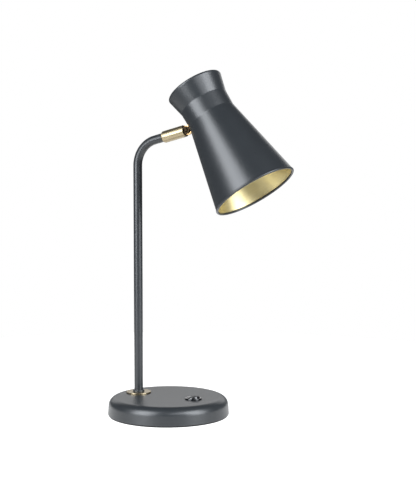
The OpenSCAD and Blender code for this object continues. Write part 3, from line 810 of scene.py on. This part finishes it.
def cutter(name: str, line: Array, axes: Axes, finish: Finish, columns: int = 64) -> Piece:
    """Makes a turned solid that is only there to cut another.

    Args:
        name: Name of the solid.
        line: Its outline, from pole to pole.
        axes: Where the outline's millimetres lie.
        finish: Finish that the cut faces take.
        columns: Steps round the axis.

    Returns:
        The solid.
    """
    surface = revolve(line, columns)
    mesh = bpy.data.meshes.new(name)
    mesh.from_pydata(axes.place(surface.points).reshape(-1, 3), [], surface.faces()[0])
    mesh.attributes.new("lay", "FLOAT_VECTOR", "POINT")
    mesh.attributes.new("wear", "FLOAT", "POINT")
    mesh.materials.append(finish.material())
    piece = bpy.data.objects.new(name, mesh)
    bpy.context.scene.collection.objects.link(piece)
    finish_mesh(piece)
    return piece


def rod(radius: float, low: float, high: float) -> Array:
    """Returns the outline of a plain round rod from one height to another."""
    return np.array([[0, low], [radius, low], [radius, high], [0, high]], float)


def eased(node: str, finish: Finish, body: Body, ease_mm: float = 0.25) -> Piece:
    """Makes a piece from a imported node's own shape, with its edges eased as a real part's are.

    Args:
        node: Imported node.
        finish: Its finish.
        body: Body that it rides on.
        ease_mm: Width of the eased edges.

    Returns:
        The piece, which stands for the node.
    """
    mesh = frame["nodes"][node].data.copy()
    mesh.name = node + "_eased"
    mesh.materials.clear()
    mesh.materials.append(finish.material())
    mesh.polygons.foreach_set("material_index", np.zeros(len(mesh.polygons), int))
    shell = bmesh.new()
    shell.from_mesh(mesh)
    bmesh.ops.remove_doubles(shell, verts=shell.verts, dist=2e-6)
    bmesh.ops.dissolve_limit(shell, angle_limit=math.radians(1.5), verts=shell.verts, edges=shell.edges)
    shell.to_mesh(mesh)
    shell.free()
    piece = bpy.data.objects.new(node + "_eased", mesh)
    bpy.context.scene.collection.objects.link(piece)
    bevel = piece.modifiers.new("ease", "BEVEL")
    bevel.width, bevel.segments, bevel.limit_method = ease_mm * MM, 3, "ANGLE"
    bevel.angle_limit, bevel.use_clamp_overlap = math.radians(35), True
    bpy.context.view_layer.update()
    shown = piece.evaluated_get(bpy.context.evaluated_depsgraph_get())
    piece.data = bpy.data.meshes.new_from_object(shown)
    piece.modifiers.clear()
    made = piece.data
    made.polygons.foreach_set("use_smooth", np.ones(len(made.polygons), bool))
    made.set_sharp_from_angle(angle=math.radians(30))
    settle(piece, body, [node])
    return piece


def keep(nodes: Sequence[str], finish: Finish) -> None:
    """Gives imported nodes, which stay as they are, their finish.

    Args:
        nodes: Names of the nodes.
        finish: Their finish.
    """
    for node in nodes:
        mesh = frame["nodes"][node].data
        mesh.materials.clear()
        mesh.materials.append(finish.material())
        log.info("%s: kept, in %s", node, finish.name)


def joint(name: str) -> tuple[Array, Array]:
    """Returns a joint's place in metres and its axis."""
    found = next(j for j in frame["joints"] if j["name"] == name)
    return np.array(found["pos_m"], float), unit(np.array(found["axis"], float))


# ---- Sub-assemblies ----


@dataclass
class Base:
    """The round foot: painted cover, rubber pad, weight and bottom plate, gland and wiring."""

    foot_r: float = 82.0
    side_lean: float = 0.0648
    height: float = 25.2
    edge_r: float = 11.7
    skin: float = 1.4
    pad: float = 1.6
    pad_r: float = 80.8
    post_ring: float = 62.1
    pad_hole_r: float = 4.6
    stem_hole_r: float = 5.1
    switch_hole_r: float = 10.0
    gland_r: float = 4.6
    gland_lip: float = 1.0

    def build(self) -> None:
        """Builds the pieces of the foot."""
        self.cover()
        self.underside()
        self.gland()
        keep(["base_weight"], IRON)
        keep(["base_plate", "cover_posts"], ZINC)
        eased("plate_screws", ZINC, Body.ROOT, 0.15)
        keep(["terminal_block"], NYLON)
        keep(["terminal_tubes"], BARE_BRASS)
        keep(["terminal_screws", "block_screw"], ZINC)

    def cover(self) -> None:
        """Spun steel shell: flat top, rolled shoulder and leaning side, with its three holes."""
        side = math.hypot(1, self.side_lean)
        shoulder = self.foot_r - self.side_lean * (self.height - self.pad)
        inner_foot = self.foot_r - self.skin * side
        inner_top = self.height - self.skin
        inner_shoulder = inner_foot - self.side_lean * (inner_top - self.pad)
        line = outline([
            (0, self.height), (shoulder, self.height, self.edge_r), (self.foot_r, self.pad, 0.5),
            (inner_foot, self.pad, 0.5), (inner_shoulder, inner_top, self.edge_r - self.skin),
            (0, inner_top),
        ], 1.2)
        piece = make_piece("base_cover_skin", [revolve(line, 192)], UPRIGHT, [PAINT], Body.ROOT,
                           ["base_cover"])
        stem_x = float(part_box("stem_washer")[0].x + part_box("stem_washer")[1].x) / 2 / MM
        switch_x = joint("switch_rock")[0][0] / MM
        gland_z = float(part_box("cord_gland")[0].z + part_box("cord_gland")[1].z) / 2 / MM
        rear = Axes.facing(np.array([-self.foot_r, 0, gland_z]) * MM, np.array([-1.0, 0, 0]))
        under, over = self.height - 5.2, self.height + 4.8
        cut(
            piece,
            cutter("stem_hole", rod(self.stem_hole_r, under, over), UPRIGHT.moved(stem_x), PAINT),
            cutter("switch_hole", rod(self.switch_hole_r, under, over), UPRIGHT.moved(switch_x), PAINT),
            cutter("gland_hole", rod(self.gland_r + 0.05, -6, 4), rear, PAINT),
        )

    def underside(self) -> None:
        """Sponge pad under the bottom plate, punched for the three screws."""
        line = outline([(0, 0), (self.pad_r, 0, 0.4), (self.pad_r, self.pad, 0.3), (0, self.pad)], 1.5)
        # The pad's near-black finish is partly painted shade: it stands in for the contact shadow under the
        # base's edge.
        piece = make_piece("base_pad_sheet", [revolve(line, 160)], UPRIGHT, [RUBBER], Body.ROOT, ["base_pad"])
        ways = [math.radians(a) for a in (90, 210, 330)]
        cut(piece, *(
            cutter(f"screw_hole_{i}", rod(self.pad_hole_r, -1, 3), UPRIGHT.moved(
                self.post_ring * math.cos(w), self.post_ring * math.sin(w)), RUBBER, 40)
            for i, w in enumerate(ways)
        ))

    def gland(self) -> None:
        """Rubber bush in the rear wall, with a lip on each side of the sheet."""
        low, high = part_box("cord_gland")
        axes = Axes.facing(np.array([high.x, 0, (low.z + high.z) / 2]), np.array([-1.0, 0, 0]))
        length = (high.x - low.x) / MM
        lip, bore = self.gland_r + self.gland_lip, self.gland_r - 1.4
        wall = length - 2.4
        line = outline([
            (bore, 0, 0.4), (lip, 0, 0.4), (lip, wall - 2.9, 0.3), (self.gland_r, wall - 2.9, 0.2),
            (self.gland_r, wall, 0.2), (lip, wall, 0.3), (lip, length - 1, 0.5),
            (lip - 1, length, 0.4), (bore, length, 0.5),
        ], 0.4, True)
        make_piece("cord_gland_bush", [revolve(line, 56, True)], axes, [RUBBER], Body.ROOT, ["cord_gland"])


@dataclass
class Switch:
    """Round rocker switch: bezel and body, dished rocker, and what is inside."""

    bezel_r: float = 11.5
    bezel_h: float = 2.0
    body_r: float = 9.9
    mouth_r: float = 8.86
    depth: float = 12.5
    rocker_r: float = 8.8
    rocker_face: float = 3.4
    dish_r: float = 40.0
    dish_deep: float = 0.7
    tilt_deg: float = 8.0

    def build(self) -> None:
        """Builds the switch."""
        place, _ = joint("switch_rock")
        top = float(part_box("switch_housing")[1].z) / MM - self.bezel_h
        axes = Axes.facing(np.array([place[0], 0, 0]), UP)
        floor = top - self.depth
        line = outline([
            (0, floor + 1.6), (self.mouth_r, floor + 1.6, 0.3), (self.mouth_r, top + self.bezel_h, 0.5),
            (self.bezel_r, top + self.bezel_h, 1.2), (self.bezel_r, top, 0.15), (self.body_r, top, 0.1),
            (self.body_r, floor, 0.6), (0, floor),
        ], 0.6)
        make_piece("switch_bezel_body", [revolve(line, 96)], axes, [GLOSS], Body.ROOT, ["switch_housing"])
        tilt = math.radians(self.tilt_deg)
        rocker_up = np.array([-math.sin(tilt), 0, math.cos(tilt)])
        make_piece("rocker_cap", [self.rocker()], Axes.facing(place, rocker_up), [GLOSS], Body.ROCKER,
                   ["switch_rocker"])
        keep(["switch_plunger"], NYLON)
        keep(["switch_terminals", "switch_bridge"], BARE_BRASS)
        keep(["switch_leads"], SLEEVE)

    def rocker(self) -> Surface:
        """Ball zone with a dished face: on the face z = dish middle - sqrt(dish_r² - x²), under its rim.

        Returns:
            The closed surface, from the pole under it to the middle of the face.
        """
        columns = 96
        turn = np.arange(columns) * 2 * math.pi / columns
        middle = self.rocker_face + self.dish_r - self.dish_deep

        def face(x: Array) -> Array:
            """Returns the height of the dished face, which stops at the rim's flat."""
            return np.minimum(self.rocker_face, middle - np.sqrt(self.dish_r**2 - x**2))

        rim = np.full(columns, self.rocker_r * 0.9)
        for _ in range(8):
            rim = np.sqrt(self.rocker_r**2 - face(rim * np.cos(turn)) ** 2)
        rim_z = face(rim * np.cos(turn))
        low = -3.5  # under the bezel, where the zone is cut off flat
        share = np.linspace(0, 1, 16)[:, None]
        zone_z = low + (rim_z - 0.45 - low) * share
        zone_r = np.sqrt(self.rocker_r**2 - zone_z**2)
        over_r = np.stack([rim - 0.07, rim - 0.22, rim - 0.5, rim - 0.9])
        over_z = np.stack([rim_z - 0.22, rim_z - 0.08, rim_z - 0.015, face(over_r[3] * np.cos(turn))])
        inner = over_r[3] * np.linspace(0.95, 0, 14)[:, None]
        inner_z = face(inner * np.cos(turn))
        radius = np.concatenate([np.zeros((1, columns)), zone_r[:1] * 0.96, zone_r, over_r, inner])
        height = np.concatenate([np.full((2, columns), low), zone_z, over_z, inner_z])
        points = np.stack([radius * np.cos(turn), radius * np.sin(turn), height], -1)
        wear = np.zeros(radius.shape)
        wear[18:22] = 0.6  # the rim's rounding
        return Surface(points, points.copy(), wear, (False, True))


@dataclass
class Stem:
    """Bent steel tube with its washer, collar, nipple, nuts and leads."""

    tube_r: float = 6.0
    tube_wall: float = 1.0
    bend_r: float = 35.7
    washer_r: float = 17.0
    washer_t: float = 1.8
    collar_r: float = 8.0
    collar_h: float = 2.5
    hole_r: float = 5.1

    def build(self) -> None:
        """Builds the stem and what holds it."""
        low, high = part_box("stem_washer")
        foot = np.array([(low.x + high.x) / 2, 0, high.z])
        self.tube(foot)
        axes = Axes.facing(foot, UP)
        ring = outline([
            (self.hole_r, -self.washer_t, 0.2), (self.washer_r, -self.washer_t, 0.35),
            (self.washer_r, 0, 0.35), (self.hole_r, 0, 0.2),
        ], 0.7, True)
        make_piece("stem_washer_disc", [revolve(ring, 128, True)], axes, [BRASS], Body.ROOT,
                   ["stem_washer"])
        sleeve = outline([
            (self.tube_r + 0.03, 0), (self.collar_r, 0, 0.15), (self.collar_r, self.collar_h, 0.8),
            (self.tube_r + 0.03, self.collar_h, 0.25),
        ], 0.5, True)
        make_piece("stem_collar_ring", [revolve(sleeve, 96, True)], axes, [COLLAR_PAINT], Body.ROOT,
                   ["stem_collar"])
        keep(["stem_nipple"], BARE_BRASS)
        keep(["stem_lock_washer", "stem_nut"], ZINC)
        keep(["stem_leads"], SLEEVE)

    def path(self, foot: Array, run: Array) -> tuple[Array, Array]:
        """Follows the tube's middle: straight up, round the bend, then straight along the arm.

        On the bend the way turns by the run since its start over its radius.

        Args:
            foot: Where the tube starts, in millimetres.
            run: Distances along the tube.

        Returns:
            Points and unit ways at those distances.
        """
        arm = joint("head_swivel")[1]
        sweep_angle = math.pi / 2 - math.asin(arm[2])
        turn = np.clip((run - self.rise(foot)) / self.bend_r, 0, sweep_angle)
        over = np.clip(run - self.rise(foot) - self.bend_r * sweep_angle, 0, None)
        ways = np.stack([np.sin(turn), 0 * turn, np.cos(turn)], -1)
        x = foot[0] + self.bend_r * (1 - np.cos(turn)) + over * ways[:, 0]
        z = foot[2] + np.minimum(run, self.rise(foot)) + self.bend_r * np.sin(turn) + over * ways[:, 2]
        return np.stack([x, 0 * x, z], -1), ways

    def rise(self, foot: Array) -> float:
        """Works out the tube's straight height: the arm's line through the pivot fixes where it bends.

        Args:
            foot: Where the tube starts, in millimetres.

        Returns:
            The height in millimetres.
        """
        pivot, arm = joint("head_tilt")[0] / MM, joint("head_swivel")[1]
        slope = math.asin(arm[2])
        bend_x = foot[0] + self.bend_r * (1 - math.sin(slope))
        bend_z = pivot[2] - (pivot[0] - bend_x) * math.tan(slope)
        return float(bend_z - self.bend_r * math.cos(slope) - foot[2])

    def tube(self, foot_m: Array) -> None:
        """Builds the painted tube: an outer skin, an inner one and the rounded rims between them.

        Args:
            foot_m: Where the tube starts, in metres.
        """
        foot = foot_m / MM
        end = float(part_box("stem")[1].x) / MM
        arm = joint("head_swivel")[1]
        rise, bend = self.rise(foot), self.bend_r * (math.pi / 2 - math.asin(arm[2]))
        bend_x = foot[0] + self.bend_r * (1 - arm[2])
        whole = rise + bend + (end + self.tube_r * arm[2] - bend_x) / arm[0]
        run = np.unique(np.concatenate([
            np.linspace(0, rise, 60), np.linspace(rise, rise + bend, 60),
            np.linspace(rise + bend, whole, 12)]))
        rim = np.array([0.0, 0.06, 0.2])
        out_run = np.concatenate([run[:1] + rim[:2], run[1:-1], run[-1:] - rim[1::-1]])
        radii = np.full(len(out_run), self.tube_r)
        radii[[0, -1]] -= 0.15
        inner = np.full(len(out_run), self.tube_r - self.tube_wall)
        centres, ways = self.path(foot, np.concatenate([out_run, out_run[::-1]]))
        skin = sweep(centres, ways, np.concatenate([radii, inner]), 72, True)
        make_piece("stem_tube", [skin], UPRIGHT, [PAINT], Body.ROOT, ["stem"])


@dataclass
class Swivel:
    """Brass barrel on the tube's end, dark ears in it, and the pivot screw."""

    barrel_r: float = 8.0
    length: float = 36.0
    ahead: float = 3.6
    bore_r: float = 6.05
    chamber_r: float = 7.0
    shoulder: float = 15.0
    slot_w: float = 4.9
    slot_deep: float = 3.4
    chamfer: float = 1.8

    def build(self) -> None:
        """Builds the swivel."""
        pivot, arm = joint("head_tilt")[0], joint("head_swivel")[1]
        axes = Axes.facing(pivot, arm).moved(z=-self.ahead - self.length)
        line = outline([
            (self.bore_r, 0, 0.2), (self.barrel_r - self.chamfer, 0, 0.3),
            (self.barrel_r, self.chamfer + 0.4, 0.6),
            (self.barrel_r, self.length, 0.6), (self.chamber_r, self.length, 0.15),
            (self.chamber_r, self.shoulder), (self.bore_r, self.shoulder),
        ], 0.7, True)
        barrel = make_piece("swivel_barrel_sleeve", [revolve(line, 112, True)], axes, [BRASS], Body.SWIVEL,
                            ["swivel_barrel"])
        cut(barrel, self.slot_block(axes))
        eased("swivel_knuckle", BRONZED, Body.SWIVEL, 0.2)
        eased("pivot_screw", BRONZED, Body.SWIVEL, 0.12)
        eased("pivot_nut", BRONZED, Body.SWIVEL, 0.15)
        keep(["friction_washers"], GRAPHITE_NYLON)
        keep(["swivel_spigot"], BARE_BRASS)
        keep(["swivel_spring_washer"], ZINC)

    def slot_block(self, axes: Axes) -> Piece:
        """Makes the block that cuts the slot for the eye across the barrel's end.

        Args:
            axes: The barrel's axes.

        Returns:
            The block.
        """
        low, high = self.length - self.slot_deep, self.length + 2
        half, tall = self.slot_w / 2, self.barrel_r + 2
        spots = np.array([(x, y, z) for x in (-tall, tall) for y in (-half, half) for z in (low, high)])
        mesh = bpy.data.meshes.new("slot_block")
        mesh.from_pydata(axes.place(spots), [], [
            (0, 1, 3, 2), (4, 6, 7, 5), (0, 4, 5, 1), (2, 3, 7, 6), (0, 2, 6, 4), (1, 5, 7, 3)])
        mesh.materials.append(BRASS.material())
        block = bpy.data.objects.new("slot_block", mesh)
        bpy.context.scene.collection.objects.link(block)
        return block


@dataclass
class Shade:
    """Waisted spun shade, painted outside and gold inside, with its rolled bead and its eye."""

    lean_deg: float = 33.85
    length: float = 165.4
    top_r: float = 39.3
    waist_top: tuple[float, float] = (33.0, 26.6)
    waist_low: tuple[float, float] = (32.5, 48.3)
    mouth_r: float = 56.8
    top_round: float = 2.5
    sheet: float = 1.0
    bead_r: float = 1.6
    bead_proud: float = 0.45
    pivot_s: float = 41.9
    pivot_out: float = 7.3
    shank_hole_r: float = 4.1

    def axes(self) -> Axes:
        """Finds the shade's place: z runs from the top to the mouth, x points towards the pivot.

        Returns:
            The shade's axes.
        """
        lean = math.radians(self.lean_deg)
        down = np.array([math.sin(lean), 0, -math.cos(lean)])
        side = np.array([-math.cos(lean), 0, -math.sin(lean)])
        share = (self.pivot_s - self.waist_top[1]) / (self.waist_low[1] - self.waist_top[1])
        out = self.waist_top[0] + (self.waist_low[0] - self.waist_top[0]) * share + self.pivot_out
        pivot = joint("head_tilt")[0]
        return Axes.facing(pivot - MM * (out * side + self.pivot_s * down), down)

    def build(self) -> None:
        """Builds the shade and the eye that carries it."""
        axes = self.axes()
        shade = make_piece("shade_skin", self.surfaces(), axes, [PAINT, GOLD], Body.HEAD, ["shade"])
        side = Axes(axes.place(np.array([0.0, 0, self.pivot_s])), axes.y, axes.z, axes.x)
        cut(shade, cutter("shank_hole", rod(self.shank_hole_r, 25, 40), side, PAINT))
        eased("shade_tongue", EYE_BRASS, Body.HEAD, 0.3)
        eased("tongue_nut", ZINC, Body.HEAD, 0.3)

    def surfaces(self) -> list[Surface]:
        """Works out the skin, the bead and the lining, which share their edges.

        The bead is a circle whose middle lies inside the cone's line. The skin meets it where its own
        line does, and the lining where a line one sheet further in does.

        Returns:
            The three turned surfaces.
        """
        slope = math.atan2(self.mouth_r - self.waist_low[0], self.length - self.waist_low[1])
        out = np.array([math.cos(slope), -math.sin(slope)])
        down = np.array([math.sin(slope), math.cos(slope)])
        rim = np.array([self.mouth_r, self.length]) - self.bead_r * np.array([math.tan(slope), 1])
        centre = rim - np.array([self.bead_r - self.bead_proud, 0])
        deep = (self.bead_r - self.bead_proud) * math.cos(slope)
        start = math.acos(deep / self.bead_r)
        stop = math.acos((deep - self.sheet) / self.bead_r) - 2 * math.pi
        angle = np.linspace(start, stop, 44)[:, None]
        bead = centre + self.bead_r * (np.cos(angle) * out - np.sin(angle) * down)
        skin = outline([
            (0, 0), (self.top_r, 0, self.top_round), (*self.waist_top, 5.0), (*self.waist_low, 5.0),
            tuple(bead[0])], 1.3)
        top_in, upper_in, lower_in = (
            r - self.sheet for r in (self.top_r - 0.2, self.waist_top[0], self.waist_low[0]))
        lining = outline([
            tuple(bead[-1]), (lower_in, self.waist_low[1] + 0.2, 4.0), (upper_in, self.waist_top[1], 4.0),
            (top_in, self.sheet, self.top_round - self.sheet), (0, self.sheet)], 1.3)
        unworn = np.zeros(len(bead))
        return [revolve(skin, 192), revolve(bead, 192, wear=unworn), revolve(lining, 192, finish=1)]


@dataclass
class Lampholder:
    """Bracket, nipple and pressed lampholder with its thread and contact."""

    start: float = 13.0
    length: float = 49.0
    back_r: float = 15.0
    skirt_r: float = 19.0
    bore_r: float = 14.15
    floor: float = 32.0
    nipple_r: float = 5.0
    hole_deep: float = 6.2
    neck_s: float = 27.0
    skirt_s: float = 29.0
    groove_s: float = 36.0
    groove_w: float = 3.2
    groove_deep: float = 0.7

    def build(self, axes: Axes) -> None:
        """Builds the lampholder.

        Args:
            axes: The shade's axes.
        """
        end = self.start + self.length
        hole_end = self.start + self.hole_deep
        groove_r, groove_end = self.skirt_r - self.groove_deep, self.groove_s + self.groove_w
        line = outline([
            (self.nipple_r, self.start, 0.3), (self.back_r, self.start, 1.2),
            (self.back_r, self.neck_s, 1.5), (self.skirt_r, self.skirt_s, 2.0),
            (self.skirt_r, self.groove_s, 0.4), (groove_r, self.groove_s + 0.8, 0.4),
            (groove_r, groove_end - 0.8, 0.4), (self.skirt_r, groove_end, 0.4), (self.skirt_r, end, 1.4),
            (self.bore_r, end, 0.6), (self.bore_r, self.floor, 0.6), (0, self.floor), (0, hole_end),
            (self.nipple_r, hole_end),
        ], 0.9, True)
        make_piece("lampholder_pressing", [revolve(line, 112, True)], axes, [PHENOLIC], Body.HEAD,
                   ["lampholder"])
        eased("holder_bracket", ZINC, Body.HEAD, 0.2)
        eased("holder_nut", ZINC, Body.HEAD, 0.3)
        keep(["holder_nipple", "holder_thread", "holder_contact"], BARE_BRASS)
        keep(["holder_leads"], SLEEVE)


@dataclass
class Bulb:
    """Screw bulb: rolled cap with its round thread, white body and opal globe."""

    contact_s: float = 35.0
    length: float = 105.0
    globe_r: float = 30.0
    cap_r: float = 13.2
    cap_end: float = 60.0
    body_s: float = 64.0
    cut_below: float = 14.0
    wall: float = 1.2
    pitch: float = 3.62
    thread_deep: float = 0.9
    tip_r: float = 9.0
    tip_len: float = 4.6

    def build(self, axes: Axes) -> None:
        """Builds the bulb.

        Args:
            axes: The shade's axes.
        """
        middle = self.contact_s + self.length - self.globe_r
        seam = middle - self.cut_below
        seam_r = math.sqrt(self.globe_r**2 - self.cut_below**2)
        make_piece("bulb_screw_cap", [self.cap()], axes, [CAP], Body.HEAD, ["bulb_cap"])
        body = outline([
            (0, self.cap_end), (self.cap_r, self.cap_end, 0.2), (self.cap_r, self.body_s, 3.0),
            (seam_r, seam, 0.2), (0, seam),
        ], 0.9)
        make_piece("bulb_housing", [revolve(body, 112)], axes, [BULB_SHELL], Body.HEAD, ["bulb_body"])
        angle = np.linspace(math.acos(-self.cut_below / self.globe_r), 0, 48)
        globe = np.stack([self.globe_r * np.sin(angle), middle + self.globe_r * np.cos(angle)], -1)
        thin = self.globe_r - self.wall
        back = np.linspace(0, math.acos(-(self.cut_below - 0.02) / thin), 48)
        inner = np.stack([thin * np.sin(back), middle + thin * np.cos(back)], -1)
        shell = np.concatenate([globe, inner])
        make_piece("bulb_globe_shell", [revolve(shell, 128, True)], axes, [OPAL], Body.HEAD, ["bulb_globe"])
        keep(["bulb_contact"], CAP)
        keep(["bulb_insulator"], GLOSS)
        keep(["led_board"], BULB_SHELL)

    def cap(self) -> Surface:
        """Screw cap: its radius dips by half a thread's depth times 1 - cos of the run less the turn.

        Returns:
            The closed surface.
        """
        start = self.contact_s + self.tip_len
        line = outline([(0, start), (self.tip_r, start, 0.3), (self.cap_r, start + 2.4, 0.8),
                        (self.cap_r, self.cap_end, 0.2), (0, self.cap_end)], 0.3)
        columns = 96
        turn = np.arange(columns) * 2 * math.pi / columns
        phase = 2 * math.pi * line[:, 1:] / self.pitch - turn
        rising = np.clip((line[:, 1:] - start - 2.6) / 2, 0, 1)
        falling = np.clip((self.cap_end - 1 - line[:, 1:]) / 2, 0, 1)
        on_side = line[:, :1] > self.cap_r - 0.5
        wave = -self.thread_deep / 2 * (1 - np.cos(phase)) * rising * falling * on_side
        return revolve(line, columns, wave=wave)


# ---- Studio ----


@dataclass(frozen=True)
class SoftBox:
    """A lit panel round the lamp.

    Its way is given in degrees to the right of the camera and above level, its distance and its sides
    in metres, and its brightness as the radiance that a reflection of it shows.
    """

    name: str
    azimuth: float
    elevation: float
    distance: float
    width: float
    height: float
    brightness: float
    tint: tuple[float, float, float] = (1.0, 1.0, 1.0)

    def place(self, centre: Vector, view_deg: float) -> None:
        """Adds the panel, turned to a point. A panel of area A gives brightness P / (pi A) at power P.

        Args:
            centre: What it shines at.
            view_deg: Turn of the camera round the lamp.
        """
        light = bpy.data.lights.new(self.name, "AREA")
        light.shape, light.size, light.size_y = "RECTANGLE", self.width, self.height
        light.energy = self.brightness * math.pi * self.width * self.height
        light.color = self.tint
        turn, level = math.radians(view_deg + self.azimuth), math.radians(self.elevation)
        reach = math.cos(level)
        back = Vector((math.sin(turn) * reach, -math.cos(turn) * reach, math.sin(level)))
        panel = bpy.data.objects.new(self.name, light)
        panel.location = centre + back * self.distance
        panel.rotation_mode = "QUATERNION"
        panel.rotation_quaternion = (-back).to_track_quat("-Z", "Y")
        bpy.context.scene.collection.objects.link(panel)


@dataclass
class Studio:
    """Pale floor, soft boxes and the camera."""

    view_deg: float = 30.493
    pitch_deg: float = 4.506
    camera_mm: tuple[float, float, float] = (884.07, -1395.77, 361.48)
    lens_mm: float = 90.77
    floor_m: float = 0.75
    floor_gap_m: float = 0.0002
    boxes: tuple[SoftBox, ...] = (
        SoftBox("left_box", -50.0, 20.0, 1.7, 1.1, 1.6, 9.4, (0.95, 0.99, 1.04)),
        SoftBox("right_box", 56.0, 20.0, 1.9, 1.1, 1.7, 9.4, (0.95, 0.99, 1.04)),
        SoftBox("upper_fill", 24.0, 27.0, 2.0, 1.1, 0.7, 4.4, (0.95, 0.99, 1.04)),
        SoftBox("back_panel", 180.0, 17.0, 2.2, 3.0, 0.9, 1.2),
    )

    def build(self) -> None:
        """Sets up the floor, the lights, the world and the camera."""
        self.floor()
        self.world()
        centre = Vector((0.02, 0, 0.24))
        for box in self.boxes:
            box.place(centre, self.view_deg)
        self.camera()
        bpy.context.scene.view_settings.view_transform = "Standard"

    def floor(self) -> None:
        """Large pale disc on which the lamp stands, clear from below so that the underside shows."""
        mesh = bpy.data.meshes.new("floor")
        ring = np.arange(64) * 2 * math.pi / 64
        spots = self.floor_m * np.stack([np.cos(ring), np.sin(ring), 0 * ring], -1)
        spots[:, 2] = -self.floor_gap_m
        mesh.from_pydata(spots, [], [tuple(range(64))])
        paper = bpy.data.materials.new("white_paper_sweep")
        paper.use_nodes = True
        tree, shader = paper.node_tree, paper.node_tree.nodes["Principled BSDF"]
        where = add(tree, "ShaderNodeTexCoord").outputs["Object"]
        fibre = add(tree, "ShaderNodeTexNoise", {"Vector": where, "Scale": 900.0, "Detail": 3.0})
        nap = add(tree, "ShaderNodeBump",
                  {"Height": fibre.outputs["Fac"], "Distance": 0.05 * MM, "Strength": 0.3})
        tree.links.new(nap.outputs["Normal"], shader.inputs["Normal"])
        shader.inputs["Base Color"].default_value = linear("#9a9a99")
        shader.inputs["Roughness"].default_value = 0.9
        shader.inputs["Emission Color"].default_value = linear("#ffffff")
        shader.inputs["Emission Strength"].default_value = 1.0
        below = add(tree, "ShaderNodeNewGeometry").outputs["Backfacing"]
        clear = add(tree, "ShaderNodeBsdfTransparent").outputs["BSDF"]
        sheet = add(tree, "ShaderNodeMixShader", {0: below, 1: shader.outputs["BSDF"], 2: clear})
        tree.links.new(sheet.outputs["Shader"], tree.nodes["Material Output"].inputs["Surface"])
        mesh.materials.append(paper)
        disc = bpy.data.objects.new("floor", mesh)
        bpy.context.scene.collection.objects.link(disc)

    def world(self) -> None:
        """Dim grey room for the reflections, white where the camera looks past the lamp."""
        world = bpy.data.worlds.new("studio")
        bpy.context.scene.world = world
        world.use_nodes = True
        tree = world.node_tree
        seen = add(tree, "ShaderNodeLightPath").outputs["Is Camera Ray"]
        tone = add(tree, "ShaderNodeMix", {0: seen, 6: (0.14, 0.145, 0.15, 1), 7: (1, 1, 1, 1)},
                   data_type="RGBA")
        tree.links.new(tone.outputs[2], tree.nodes["Background"].inputs["Color"])

    def camera(self) -> None:
        """Puts the camera at the viewing angle, with no shift."""
        lens = bpy.data.cameras.new("camera")
        lens.lens, lens.sensor_width, lens.sensor_fit = self.lens_mm, 36.0, "AUTO"
        eye = bpy.data.objects.new("camera", lens)
        eye.location = Vector(self.camera_mm) * MM
        eye.rotation_euler = (math.radians(90 - self.pitch_deg), 0, math.radians(self.view_deg))
        bpy.context.scene.collection.objects.link(eye)
        bpy.context.scene.camera = eye


def main() -> None:
    """Builds the studio and every sub-assembly in order."""
    logging.basicConfig(level=logging.INFO, format="%(name)s: %(message)s", stream=sys.stdout)
    Studio().build()
    Base().build()
    Switch().build()
    Stem().build()
    Swivel().build()
    shade = Shade()
    shade.build()
    Lampholder().build(shade.axes())
    Bulb().build(shade.axes())


if __name__ == "__main__":
    main()
